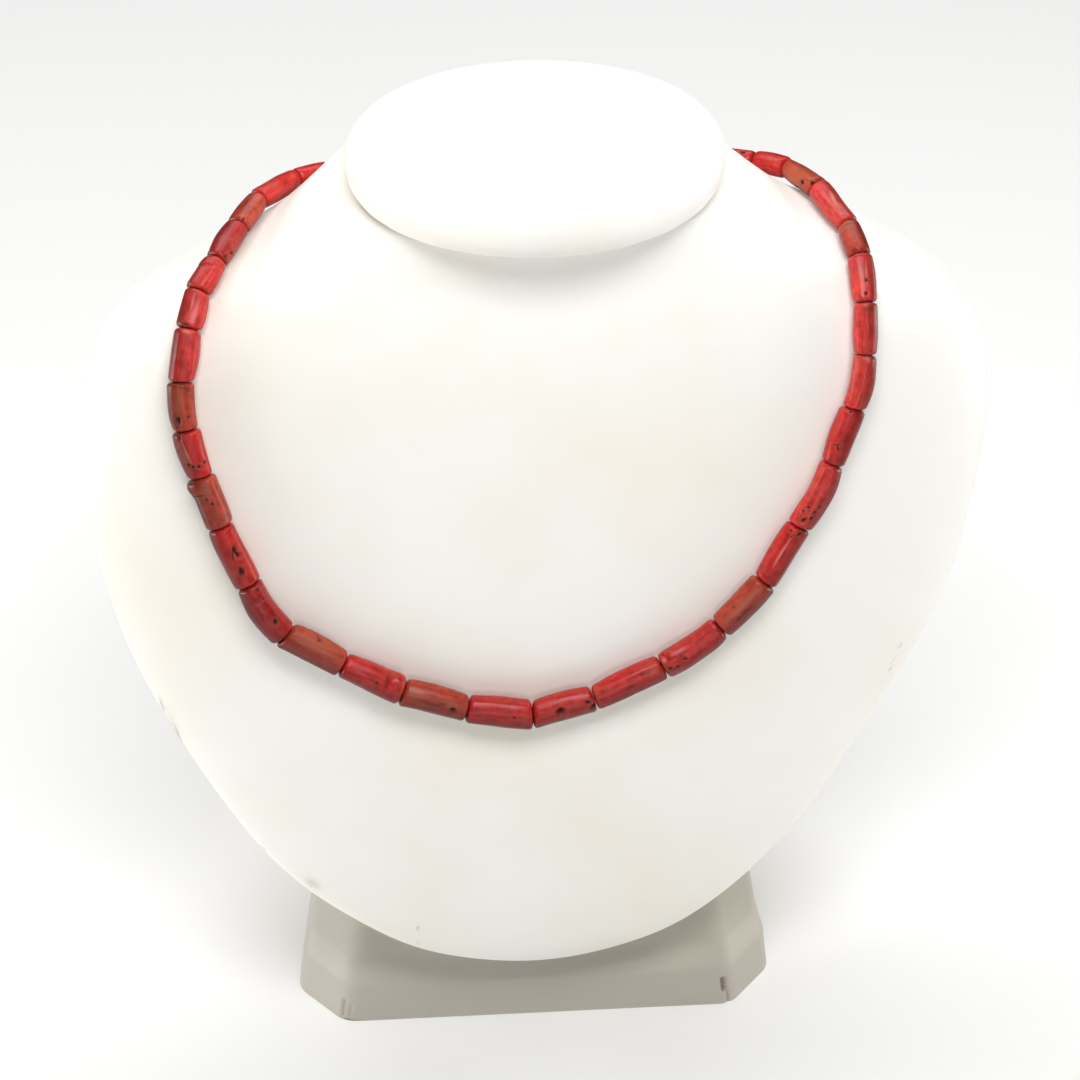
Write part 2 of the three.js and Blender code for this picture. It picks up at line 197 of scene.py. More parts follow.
# One row for each bead, from the clasp round by the left to the front and back by the right:
# length, girth, taper, bow towards the inside of the loop, flatness, tone,
# and a knob where the bead has one: place along it, side in degrees and height
BEADS = [
    (7.2, 4.1, 0, 0, 0.03, "red"),
    (7.4, 4.2, 0.06, 0.2, 0.05, "rust"),
    (8.0, 4.1, -0.04, -0.2, 0.02, "red"),
    (7.6, 4.3, 0.05, 0.1, 0.06, "deep"),
    (7.4, 4.2, -0.06, 0, 0.05, "red"),
    (11.7, 4.3, 0.04, 0.2, 0.03, "red"),
    (8.6, 4.5, 0.05, -0.2, 0.06, "rust"),
    (9.4, 4.6, -0.04, -0.3, 0.04, "deep"),
    (7.2, 4.6, 0.08, 0, 0.05, "pink", (-0.55, 180, 0.3)),
    (7.3, 4.7, 0.04, 0.2, 0.06, "pink"),
    (9.6, 4.9, 0, 0.1, 0.03, "pink"),
    (9.0, 4.7, -0.04, -0.4, 0.05, "rust"),
    (9.3, 4.8, -0.08, -0.3, 0.07, "red"),
    (10.2, 5.0, 0.02, 0, 0.05, "rust", (-0.72, 170, 0.7)),
    (12.6, 5.0, 0.03, -0.2, 0.04, "red"),
    (12.2, 5.2, 0.02, -0.8, 0.03, "deep"),
    (12.5, 5.3, -0.03, 0.3, 0.08, "rust"),
    (12.6, 5.2, 0.06, 0.2, 0.05, "red", (0.74, 30, 0.6)),
    (12.9, 5.3, -0.03, 0.3, 0.06, "rust"),
    (12.7, 5.5, 0.03, 0, 0.07, "red"),
    (12.2, 5.3, -0.02, 0.2, 0.04, "red"),
    (14.4, 5.1, 0.02, 0.1, 0.05, "red"),
    (13.3, 5.2, -0.03, -0.6, 0.04, "red", (-0.6, 40, 0.4)),
    (12.2, 5.1, 0.03, -0.2, 0.06, "rust"),
    (12.7, 4.9, 0.02, 0.1, 0.05, "red"),
    (13.5, 4.8, -0.03, -0.8, 0.04, "pink"),
    (11.3, 4.7, 0.04, 0, 0.06, "red"),
    (10.3, 4.5, -0.02, -0.7, 0.03, "pink"),
    (9.6, 4.4, 0, -0.1, 0.04, "pink"),
    (9.1, 4.6, 0.03, -0.1, 0.05, "pink"),
    (7.2, 4.5, -0.05, 0, 0.05, "rust"),
    (12.0, 4.5, 0.03, 0.2, 0.04, "pink"),
    (10.3, 4.4, -0.09, 0, 0.05, "rust"),
    (7.6, 4.3, -0.04, 0.2, 0.04, "red"),
    (7.6, 4.2, 0.03, 0, 0.05, "red"),
    (8.0, 4.2, 0, -0.2, 0.04, "deep"),
    (8.3, 4.1, 0.05, 0.1, 0.03, "red"),
    (8.1, 4.2, -0.03, 0, 0.06, "rust"),
    (8.0, 4.1, 0.02, 0.1, 0.04, "red"),
]
KNOB_SPREAD = 0.3
KNOB_WIDTH = 0.8
BORE_DIAMETER = 1.5
# Depth of a bead's rounded end, the power of its superellipse, and the rows of a bead
DOME = 0.95
DOME_POWER = 2.7
DOME_ROWS = 12
BODY_ROWS = 68
BORE_ROWS = 3
BEAD_COLUMNS = 96
# Neighbouring beads nearly touch, and each is this much slimmer at its ends than in its middle
BEAD_GAP = 0.06
SWELL = 0.07
# Facets left by grinding: how far the section goes from round to many-sided, and the fewest and most sides
FACET = 0.22
FACET_SIDES = (5, 7)
# Height of a bead's slow lumps, how many waves make them and the lengths of the waves
LUMP = 0.035
LUMP_WAVES = 5
LUMP_LENGTHS = (6, 14)

# Marks on the beads that face the front, by bead number: kind, place along the bead from -1 to 1, side in
# degrees (0 the inside of the loop, 90 away from the skin), length and width in millimetres, depth, turn
# Most pale marks are painted highlights along the beads' ridges; the one on bead 28, which has depth, is a
# chip
MARKS = {
    7: [("pit", 0.9, 25, 0.7, 0.5, 0.25, 0), ("stain", -0.05, 59, 3, 0.5, 0, 5)],
    8: [("pit", 0.5, -10, 0.8, 0.6, 0.3, 0), ("pit", 0.85, 10, 0.8, 0.6, 0.3, 0)],
    9: [("dent", -0.3, 90, 0.6, 4, 0.22, 0)],
    10: [("crack", 0.86, 80, 0.3, 2.2, 0.25, 10), ("pale", -0.25, 76, 3.5, 0.4, 0, 0)],
    11: [("pale", -0.85, 82, 0.5, 1.6, 0, 0)],
    12: [
        ("stain", -0.88, 65, 1, 1.6, 0, 0), ("stain", -0.75, 40, 0.9, 1.2, 0, 20),
        ("pit", 0.5, 100, 1.5, 1.1, 0.6, 10), ("pit", 0.4, 45, 0.6, 0.5, 0.3, 0),
        ("rust", -0.3, 85, 5, 2, 0, 0),
    ],
    13: [
        ("pit", 0.3, 105, 0.8, 0.6, 0.3, 30), ("pit", 0.42, 90, 0.9, 0.7, 0.4, 0),
        ("pit", 0.45, 62, 0.8, 0.7, 0.35, 0), ("pit", 0.37, 30, 0.7, 0.6, 0.3, 0),
        ("pale", -0.3, 97, 5.5, 0.35, 0, -8), ("pit", -0.85, 112, 1.4, 0.6, 0.3, 0),
        ("rust", -0.1, 110, 6, 1.6, 0, 0),
    ],
    14: [
        ("pit", -0.25, 88, 0.6, 0.5, 0.3, 0), ("pit", -0.03, 71, 0.7, 0.5, 0.3, 30),
        ("stain", 0, 135, 4, 1.4, 0.15, 0), ("stain", 0.45, 128, 2, 1, 0.1, 0),
        ("rust", -0.5, 95, 3, 3, 0, 0), ("crack", -0.45, 120, 0.3, 2.5, 0.2, 0),
    ],
    15: [
        ("pit", -0.28, 57, 1.7, 1.0, 0.5, 20), ("pit", -0.1, 52, 1.5, 0.9, 0.5, -20),
        ("crack", -0.15, 75, 2.2, 0.3, 0.2, 25), ("pit", 0.42, 72, 1.9, 1.3, 0.55, 15),
    ],
    16: [
        ("pit", -0.81, 47, 0.8, 0.6, 0.3, 0), ("pit", -0.46, 40, 0.7, 0.6, 0.3, 0),
        ("ring", -0.46, 70, 1.1, 1, 0.15, 0), ("ring", -0.19, 69, 0.9, 0.8, 0.1, 0),
        ("pit", 0.37, 54, 1.3, 1, 0.5, 30),
    ],
    17: [
        ("rust", 0, 40, 10, 2.6, 0, 0), ("crack", -0.14, 18, 1.6, 0.25, 0.2, 40),
        ("crack", -0.1, 22, 1.2, 0.25, 0.2, -50),
    ],
    18: [
        ("pit", 0.11, 78, 0.7, 0.5, 0.3, 0), ("dent", 0.42, 50, 0.7, 4, 0.2, 0),
        ("crack", 0.4, 60, 0.25, 2.6, 0.12, 8), ("rise", 0.76, 40, 3.4, 4.5, -0.25, 0),
    ],
    19: [
        ("pit", 0.54, 90, 1.3, 1.1, 0.45, 0), ("rust", 0.4, 70, 4, 2.2, 0, 0),
        ("rust", -0.6, 65, 4, 2, 0, 0), ("stain", -0.15, 88, 6, 0.9, 0, 4),
        ("stain", 0.2, 75, 2, 0.6, 0, -15),
    ],
    20: [("pit", 0.41, 81, 0.6, 0.5, 0.3, 0), ("stain", 0.45, 17, 0.8, 0.5, 0, 0)],
    21: [
        ("pit", -0.13, 83, 1.5, 1.5, 0.9, 0), ("pit", 0.78, 72, 1.2, 0.8, 0.4, 20),
        ("pit", 0.9, 103, 1.4, 1.3, 0.6, 0),
    ],
    22: [("ring", -0.58, 45, 1.3, 0.8, 0.15, 30), ("ring", 0.72, 78, 1.2, 1, 0.15, 0)],
    23: [
        ("pit", -0.31, 78, 0.7, 0.5, 0.35, 40), ("pit", -0.6, 89, 0.7, 0.6, 0.25, 0),
        ("pit", -0.83, 82, 0.9, 0.7, 0.35, 0), ("pit", -0.82, 15, 0.7, 0.5, 0.25, 0),
        ("pale", -0.85, 40, 0.8, 0.9, 0, 0), ("ring", -0.25, 70, 0.9, 0.7, 0.1, 0),
    ],
    24: [
        ("stain", -0.2, 38, 0.8, 0.6, 0, 0), ("stain", -0.1, 90, 2.4, 0.9, 0, 0),
        ("stain", -0.35, 92, 1.5, 0.8, 0, 0), ("rust", 0, 55, 9, 2.2, 0, 0),
    ],
    25: [
        ("pit", 0.85, 88, 1.2, 0.7, 0.5, 10), ("pit", 0.82, 41, 0.6, 0.5, 0.25, 0),
        ("crack", 0.7, 60, 1.2, 0.25, 0.15, 30), ("ring", -0.62, 49, 1.3, 1, 0.15, 0),
        ("pale", 0.1, 60, 6, 0.5, 0, 0),
    ],
    26: [
        ("pit", -0.35, 45, 0.8, 0.5, 0.35, 30), ("pit", -0.52, 33, 0.8, 0.5, 0.3, -20),
        ("pit", -0.4, 83, 0.8, 0.6, 0.3, 0), ("pit", -0.73, 60, 1.2, 0.8, 0.5, 20),
        ("pit", -0.59, 86, 1, 0.7, 0.3, 0), ("pit", -0.2, 88, 0.7, 0.5, 0.2, 0),
    ],
    27: [
        ("pit", 0.93, 56, 0.6, 0.5, 0.3, 0), ("crack", -0.27, 55, 1.6, 0.3, 0.25, 60),
        ("crack", -0.38, 62, 1.3, 0.3, 0.25, -40), ("stain", 0, 85, 3, 0.8, 0, 0),
    ],
    28: [("pale", 0.9, 84, 1.1, 1.2, 0.15, 0)],
    29: [("stain", 0.72, 85, 1.2, 3, 0, 0)],
    30: [
        ("pit", -0.16, 75, 0.6, 0.6, 0.3, 0), ("pit", -0.69, 65, 0.7, 0.6, 0.3, 0),
        ("pale", 0.1, 78, 4, 0.4, 0, 5),
    ],
    31: [("rust", 0.75, 45, 1.6, 4, 0, 0), ("stain", 0.68, 50, 0.6, 2.5, 0, 0)],
    32: [("pale", 0, 60, 4, 0.6, 0, 10)],
    33: [
        ("pit", -0.5, -10, 1.2, 1, 0.5, 0), ("pit", -0.95, 16, 0.8, 1, 0.4, 0),
        ("pit", -0.15, -70, 1.6, 1.2, 0.6, 0), ("rust", 0, 0, 8, 4, 0, 0),
    ],
}
# Waves that make a mark's outline uneven: how many round it, and their height
UNEVEN = ((3, 0.12), (5, 0.1))
# A healed ring: its strength, its place from the mark's middle and its width
RING_STRENGTH = 0.3
RING_PLACE = 0.8
RING_WIDTH = 0.35
# Strength of the rust round a pit and the power that spreads it past the pit
PIT_RUST = 0.55
RUST_SPREAD = 0.3
# Strength of the painted shade on the side of a bead that faces away from the neck, where shade falls
PAINTED_SHADE_STRENGTH = 0.85
# Each bead is cut from another stretch of the grain, this far from the last one's
GRAIN_STEP = 40.0
# Brightness of the lightest and the darkest streaks against the bead's own colour
LIGHT_STREAK = 1.3
DARK_STREAK = 0.65
# Small pores of the beads round the nape, which no mark describes: the fewest and most to a bead, their
# widths, and how far they stand along the bead and are turned to either side
PORES = (2, 5)
PORE_WIDTHS = (0.35, 0.8)
PORE_REACH = 0.8
PORE_TURN = 40
NAPE_BEADS = (1, 2, 3, 4, 35, 36, 37, 38, 39)

# Scuffs and dirt on the bust's cover: attribute, height, bearing, length up the slope, width and strength
SCUFFS = [
    ("soil", 116.4, -77, 0.8, 1.6, 0.6),
    ("soil", 114.3, -78, 0.7, 1.4, 0.4),
    ("soil", 111.6, -81, 0.8, 1.6, 0.5),
    ("soil", 88, -74, 1.0, 0.8, 0.4),
    ("soil", 84, -62, 0.9, 0.8, 0.3),
    ("soil", 80.5, -80.5, 3.9, 1.1, 0.7),
    ("stain", 75, -83, 4.5, 1.3, 0.6),
    ("soil", 73.5, -83, 3.9, 1.0, 0.8),
    ("soil", 67.5, -85, 2.6, 1.0, 0.6),
    ("soil", 48.8, -79, 1.7, 1.0, 0.7),
    ("stain", 42.3, -64.4, 1.4, 1.4, 0.7),
    ("soil", 32.2, -40.5, 1.6, 0.6, 0.6),
    ("soil", 27, -53, 1.6, 0.6, 0.6),
    ("soil", 131.3, -13.1, 1.2, 0.8, 0.5),
    ("soil", 83.7, 13.1, 0.8, 0.7, 0.5),
    ("soil", 74.8, 32.9, 1.0, 0.7, 0.4),
    ("soil", 72.4, 34, 1.0, 0.7, 0.4),
    ("soil", 83.5, 67, 2.6, 0.9, 0.6),
    ("soil", 79.3, 68, 2.2, 1.0, 0.6),
    ("soil", 74.6, 70, 2.2, 0.9, 0.5),
]

# Barrel clasp at the nape, two turned halves end to end
CLASP = {"length": 14, "radius": 2.1, "neck_radius": 1.3, "shoulder": 1.5, "wall": 2.4}
CLASP_COLUMNS = 96
# Knurled band of each half: ridges, their height, and the band's ends from the inner face
KNURLS = 32
KNURL_HEIGHT = 0.07
KNURL_BAND = (1.0, 3.6)
EDGE = 0.12

# Two-ply thread: rows along it, columns round it and the length of one turn of the twist
THREAD_ROWS = 1400
THREAD_COLUMNS = 12
TWIST = 2.6
PLY_DEPTH = 0.2

# Camera: angles in degrees, the point it looks at in millimetres, and its lens for a square picture
CAMERA_AZIMUTH = -8.0
CAMERA_ELEVATION = 36.5
CAMERA_ROLL = 0.7
CAMERA_TARGET = (1.6, -10.0, 95.2)
CAMERA_DISTANCE = 560
PICTURE_SIDE = 1080
FOCAL_PIXELS = 2800
SENSOR = 36

# The floor reaches this far to each side, in metres
FLOOR_REACH = 3.0
# Softboxes in metres: name, place, the point each faces, width and height
SOFTBOXES = [
    ("top", (0, -0.24, 0.52), (0, -0.04, 0.1), 0.3, 0.15),
    ("left", (-0.8, 0, 0.12), (0, 0, 0.06), 0.5, 0.2),
    ("right", (0.8, 0, 0.12), (0, 0, 0.06), 0.5, 0.2),
    ("back", (0, 0.42, 0.95), (0, 0.42, 0), 1.2, 0.5),
    ("front", (0, -0.9, 0.35), (0, -0.04, 0.09), 0.5, 0.3),
]


def linear(colour):
    """Turns an sRGB hex colour into the linear values that shaders take."""
    values = [int(colour[i : i + 2], 16) / 255 for i in (1, 3, 5)]
    return tuple(v / 12.92 if v <= 0.04045 else ((v + 0.055) / 1.055) ** 2.4 for v in values)


def colour_property(name, description, colour):
    """Colour setting with an sRGB hex default."""
    return FloatVectorProperty(
        name=name, description=description, subtype="COLOR", size=3, min=0, max=1, default=linear(colour)
    )


def length_property(name, description, millimetres):
    """Length setting with a default in millimetres."""
    return FloatProperty(name=name, description=description, unit="LENGTH", default=millimetres * MM)


def power_property(name, place, watts):
    """Power setting of one softbox."""
    description = f"Power of the softbox {place}"
    return FloatProperty(name=name, description=description, unit="POWER", default=watts)


class BustSettings(bpy.types.PropertyGroup):
    """Cover of the bust, its cap and its pedestal."""

    cover: colour_property("Cover", "Colour of the clean leatherette", "#f5f3ee")
    # The pedestal's leatherette is greyer than the cover: painted shade for the shadow under the chest's
    # overhang
    pedestal: colour_property("Pedestal", "Colour of the pedestal's shade_darkened leatherette", "#b5b0a5")
    aged: colour_property("Aged cover", "Tint of the cover where it has yellowed", "#fbf8f0")
    soil: colour_property("Soil", "Colour of grey scuffs and specks on the cover", "#6d665a")
    stain: colour_property("Stain", "Colour of brown smears on the cover", "#8a6f4e")
    grain: length_property("Grain", "Width of one embossed cell of the cover", 0.9)
    seam: length_property("Seam", "Depth of the seam round the back panel", 0.5)


class StrandSettings(bpy.types.PropertyGroup):
    """Beads, thread and clasp."""

    red: colour_property("Red", "Coral of the red beads", "#b92521")
    rust: colour_property("Rust", "Coral of the orange-brown beads", "#a83a28")
    pink: colour_property("Pink", "Coral of the lighter beads", "#c6342f")
    deep: colour_property("Deep", "Coral of the darkest beads", "#9f201e")
    weathered: colour_property("Weathered", "Orange-brown patches of the coral", "#ad593d")
    # This colour also paints the pale highlights along the beads' ridges
    pit: colour_property("Pits", "Dirt in the pits and cracks", "#2a0b08")
    scar: colour_property("Scars", "Pale scars and chips", "#e39c8c")
    polish: FloatProperty(
        name="Polish",
        description="Roughness of the polished coral",
        subtype="FACTOR",
        min=0,
        max=1,
        default=0.3,
    )
    thread: colour_property("Thread", "Cotton of the thread", "#e8dfcf")
    thread_diameter: length_property("Thread", "Diameter of the thread", 0.8)
    plating: colour_property("Plating", "Gold plate of the clasp", "#c9a24a")


class StageSettings(bpy.types.PropertyGroup):
    """Floor and lights."""

    floor: colour_property("Floor", "Colour of the floor", "#f6f6f5")
    sky: FloatProperty(name="Sky", description="Strength of the light from all round", min=0, default=0.03)
    top: power_property("Top", "overhead", 1.62)
    left: power_property("Left", "low on the left", 3.7)
    right: power_property("Right", "low on the right", 2.9)
    back: power_property("Back", "behind", 8.2)
    front: power_property("Front", "in front", 1.45)


def cubic(before, start, end, after, f):
    """Uniform cubic from start to end at f, with slopes from the neighbours."""
    square = 2 * before - 5 * start + 4 * end - after
    cube = 3 * start - before - 3 * end + after
    return 0.5 * (2 * start + (end - before) * f + square * f**2 + cube * f**3)


def unit(vectors):
    """Vectors of length 1 along the last axis."""
    return vectors / np.linalg.norm(vectors, axis=-1, keepdims=True)


def round_angles(columns):
    """Angles of the columns round a piece."""
    return np.linspace(0, 2 * np.pi, columns, endpoint=False)[None, :]


def run_along(line):
    """Length of a line of points from its start to each of them."""
    steps = np.linalg.norm(np.diff(line, axis=0), axis=1)
    return np.concatenate([[0], np.cumsum(steps)])


def read_along(places, run, values):
    """Values along a line at places on its run, by straight interpolation."""
    return np.stack([np.interp(places, run, column) for column in values.T], -1)


def slices(t):
    """Slice values at t, 0 at the lowest tip and 1 at the neck's top, by the uniform cubic. A row mirrored
    below the tip makes the tip round, and one beyond the neck carries on its slope."""
    mirrored = SLICES[1] * (1, -1, 1, -1, -1, 1)
    rows = np.vstack([mirrored, SLICES, 2 * SLICES[-1] - SLICES[-2]])
    place = np.clip(t, 0, 1) * (len(SLICES) - 1)
    i = np.minimum(place.astype(int), len(SLICES) - 2)
    values = cubic(rows[i], rows[i + 1], rows[i + 2], rows[i + 3], (place - i)[..., None])
    return np.moveaxis(values, -1, 0)


def skin(t, bearing):
    """Points of the bust's skin: each slice is half an ellipse in front of its widest line and half a
    superellipse behind it, and bearing runs round it from the front."""
    z, half_width, y, front, back, middle = slices(t)
    sine, cosine = np.sin(bearing), np.cos(bearing)
    ahead = cosine >= 0
    power = np.where(ahead, 1, 2 / BACK_POWER)
    x = middle + half_width * np.sign(sine) * np.abs(sine) ** power
    reach = np.where(ahead, -front, back) * np.abs(cosine) ** power
    return np.stack([x, y + reach, z + 0 * x], -1)


def skin_normal(t, bearing):
    """Outward direction of the skin, from the difference of near points round it and up it."""
    rise, turn = 0.004, 0.02
    around = skin(t, bearing + turn) - skin(t, bearing - turn)
    upward = skin(np.minimum(t + rise, 1), bearing) - skin(np.maximum(t - rise, 0), bearing)
    return unit(np.cross(around, upward))


def height_to_t(z):
    """t of the slice at a height, read back from closely spaced slices."""
    t = np.linspace(0, 1, HEIGHT_SAMPLES)
    return np.interp(z, slices(t)[0], t)


def inside_bust(x, y, z):
    """Below 0 inside the bust and above 0 outside: the slice's ellipse or superellipse sum, less 1."""
    _, half_width, widest, front, back, middle = slices(height_to_t(z))
    ahead = y < widest
    power = np.where(ahead, 2, BACK_POWER)
    depth = np.maximum(np.where(ahead, front, back), 1e-6)
    across = (np.abs(x - middle) / np.maximum(half_width, 1e-6)) ** power
    return across + (np.abs(y - widest) / depth) ** power - 1


def seat_height(x, y):
    """Height of the bust's underside over points of the floor: the lowest level that lies inside it."""
    levels = np.linspace(SLICES[0, 0], PEDESTAL_LEVELS[-1, 0], SEAT_SAMPLES)
    depth = inside_bust(x[..., None], y[..., None], levels)
    return first_crossing(depth, levels)


def first_crossing(values, levels):
    """Level at which values along the last axis first fall below 0, by straight interpolation."""
    first = np.maximum(np.argmax(values < 0, axis=-1), 1)
    high = np.take_along_axis(values, first[..., None], -1)[..., 0]
    low = np.take_along_axis(values, first[..., None] - 1, -1)[..., 0]
    share = np.clip(low / np.where(low == high, 1, low - high), 0, 1)
    return levels[first - 1] + share * (levels[first] - levels[first - 1])


def closed_surface(name, points, loop=False, **attributes):
    """Smooth closed mesh over a grid of points in millimetres, rows along and columns round.

    Each row closes on itself. With loop the last row joins the first; otherwise the first and the last
    row are single points, and a fan closes each end. Attributes are grids of numbers or of vectors."""

    def flat(grid):
        if loop:
            return grid.reshape(-1, *grid.shape[2:])
        middle = grid[1:-1].reshape(-1, *grid.shape[2:])
        return np.concatenate([grid[0, :1], middle, grid[-1, :1]])

    vertices = flat(points) * MM
    if loop:
        index = np.arange(len(vertices)).reshape(points.shape[:2])
        low, high = index, np.roll(index, -1, 0)
        fans = []
    else:
        index = 1 + np.arange(len(vertices) - 2).reshape(-1, points.shape[1])
        low, high = index[:-1], index[1:]
        first, last = index[0], index[-1]
        foot, top = np.zeros_like(first), np.full_like(last, len(vertices) - 1)
        fans = np.stack([foot, np.roll(first, -1), first], -1).tolist()
        fans += np.stack([last, np.roll(last, -1), top], -1).tolist()
    quads = np.stack([low, np.roll(low, -1, 1), np.roll(high, -1, 1), high], -1).reshape(-1, 4)
    mesh = bpy.data.meshes.new(name)
    mesh.from_pydata(vertices.tolist(), [], quads.tolist() + fans)
    for key, grid in attributes.items():
        values = flat(grid).astype(np.float32)
        kind, field = ("FLOAT_VECTOR", "vector") if values.ndim == 2 else ("FLOAT", "value")
        mesh.attributes.new(key, kind, "POINT").data.foreach_set(field, values.ravel())
    mesh.shade_smooth()
    piece = bpy.data.objects.new(name, mesh)
    bpy.context.scene.collection.objects.link(piece)
    return piece


def fit(piece, node, material):
    """Gives a piece its finish and puts it in the place of its CAD node."""
    piece.data.materials.append(material)
    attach(piece, "root")
    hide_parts(node)
    return piece


def bust_points():
    """Skin grid with a flat closed neck, and its soil and stain.

    The seam is a groove across the bearing: a bell curve about the seam's bearing, sunk along the normal."""
    settings = bpy.context.scene.necklace_bust
    t = np.linspace(0, 1, BUST_ROWS)[:, None]
    bearing = np.linspace(-np.pi, np.pi, BUST_COLUMNS, endpoint=False)[None, :]
    t, bearing = np.broadcast_arrays(t, bearing)
    points = skin(t, bearing)
    soil, stain = scuff_fields(points)
    off_seam = (np.abs(bearing) - math.radians(SEAM_BEARING)) * slices(t)[1]
    groove = np.exp(-((off_seam / SEAM_WIDTH) ** 2)) * np.clip(t / SEAM_START, 0, 1)
    points = points - skin_normal(t, bearing) * (groove * settings.seam / MM)[..., None]
    shrink = np.linspace(1, 0, NECK_ROWS + 1)[1:, None, None]
    middle = points[-1].mean(0)
    neck = middle + (points[-1] - middle) * shrink
    clean = np.zeros((NECK_ROWS, BUST_COLUMNS))
    return np.vstack([points, neck]), np.vstack([soil, clean]), np.vstack([stain, clean])


def scuff_fields(points):
    """Strength of soil and stain: for each scuff a bell curve of the distance from its middle, measured
    up the skin and round it in the scuff's own length and width."""
    fields = {"soil": np.zeros(points.shape[:2]), "stain": np.zeros(points.shape[:2])}
    for kind, z, degrees, length, width, strength in SCUFFS:
        t, bearing = height_to_t(np.array(z)), np.radians(degrees)
        middle, outward = skin(t, bearing), skin_normal(t, bearing)
        around = unit(np.cross((0, 0, 1), outward))
        upward = np.cross(outward, around)
        apart = points - middle
        far = (apart @ upward / length) ** 2 + (apart @ around / width) ** 2 + (apart @ outward / length) ** 2
        fields[kind] = np.maximum(fields[kind], strength * np.exp(-far))
    return fields["soil"], fields["stain"]


def cap_points():
    """Oval pad: rows follow its profile from the middle of its underside, round the gathered lower edge to
    its widest level, over the rounded shoulder and in to a slightly crowned middle.

    A row is the pad's oval drawn in by an inset and scaled towards the middle; the edge is a quarter ellipse
    below the widest level and another above it. The gathers are a cosine round the oval that dies away up
    the edge."""
    base = SLICES[-1, 0] + GAP
    height, equator, tuck, shoulder = CAP["height"], CAP["equator"], CAP["tuck"], CAP["round"]
    under_rows, lower_rows, upper_rows, top_rows = CAP_ROWS
    lower = np.linspace(0, np.pi / 2, lower_rows + 1)[:-1]
    upper = np.linspace(0, np.pi / 2, upper_rows)
    inset = np.concatenate([tuck * (1 - np.sin(lower)), shoulder * (1 - np.cos(upper))])
    rise = np.concatenate([equator * (1 - np.cos(lower)), equator + (height - equator) * np.sin(upper)])
    inner = np.linspace(0, 1, under_rows + 1)[:-1]
    outer = np.linspace(1, 0, top_rows + 1)[1:]
    inset = np.concatenate([np.full(len(inner), tuck), inset, np.full(len(outer), shoulder)])
    crown = CAP_CROWN * (1 - outer**2)
    rise = np.concatenate([0 * inner, rise, height + crown])
    scale = np.concatenate([inner, np.ones(len(lower) + len(upper)), outer])
    inset, rise, scale = inset[:, None], rise[:, None], scale[:, None]
    bearing = round_angles(CAP_COLUMNS)
    drift = sum(reach * np.sin(waves * bearing) for waves, reach in PLEAT_DRIFT)
    wave = 0.5 - 0.5 * np.cos(PLEATS * bearing + drift)
    inset = inset + PLEAT_DEPTH * wave * np.exp(-((rise / PLEAT_HEIGHT) ** 2))
    x = scale * (CAP["half_width"] - inset) * np.sin(bearing)
    y = CAP["y"] - scale * (CAP["half_depth"] - inset) * np.cos(bearing)
    return np.stack([x, y, base + rise + 0 * x], -1)


def pedestal_levels(z):
    """Level values at heights, read from the levels after a moving average has softened their edges."""
    heights = np.linspace(0, PEDESTAL_LEVELS[-1, 0], LEVEL_SAMPLES)
    width = int(RIM_SOFTNESS / (heights[1] - heights[0]))
    kernel = np.ones(2 * width + 1) / (2 * width + 1)
    values = []
    for column in PEDESTAL_LEVELS.T[1:]:
        plain = np.pad(np.interp(heights, PEDESTAL_LEVELS[:, 0], column), width, mode="edge")
        values.append(np.interp(z, heights, np.convolve(plain, kernel, mode="valid")))
    return values


def pedestal_outline(z):
    """Points of the pedestal's wall at heights z, a grid of rows by columns, going round from the front's
    left corner: each corner a quadratic curve between its two sides, and each side straight."""
    wide, narrow, front, back, cut_x, cut_y = pedestal_levels(z)
    corners = [
        (-wide + cut_x, front),
        (wide - cut_x, front),
        (wide, front + cut_y),
        (narrow, back - cut_y),
        (narrow - cut_x, back),
        (-narrow + cut_x, back),
        (-narrow, back - cut_y),
        (-wide, front + cut_y),
    ]
    corners = np.moveaxis(np.array(corners), 1, -1)
    before, after = np.roll(corners, 1, 0), np.roll(corners, -1, 0)
    enter = corners + CORNER_REACH * unit(before - corners)
    leave = corners + CORNER_REACH * unit(after - corners)
    bend = np.linspace(0, 1, CORNER_COLUMNS)
    straight = np.linspace(0, 1, SIDE_COLUMNS + 2)[1:-1]
    weights = (1 - bend) ** 2, 2 * bend * (1 - bend), bend**2
    columns = z.shape[1]
    share = np.arange(columns) // (CORNER_COLUMNS + SIDE_COLUMNS)
    step = np.arange(columns) % (CORNER_COLUMNS + SIDE_COLUMNS)
    on_corner = step < CORNER_COLUMNS
    b = [np.where(on_corner, w[np.minimum(step, CORNER_COLUMNS - 1)], 0) for w in weights]
    f = np.where(on_corner, 0, straight[np.maximum(step - CORNER_COLUMNS, 0)])

    def pick(points, corner):
        return points[corner % len(points), :, np.arange(columns)].swapaxes(0, 1)

    curve = sum(
        w[None, :, None] * pick(p, share) for w, p in zip(b, (enter, corners, leave), strict=True)
    )
    side = (1 - f)[None, :, None] * pick(leave, share) + f[None, :, None] * pick(enter, share + 1)
    return np.where(on_corner[None, :, None], curve, side)


def turned(points):
    """Plan points turned with the pedestal about the vertical."""
    angle = math.radians(PEDESTAL_TURN)
    cosine, sine = math.cos(angle), math.sin(angle)
    x, y = points[..., 0], points[..., 1]
    return np.stack([x * cosine - y * sine, x * sine + y * cosine], -1)


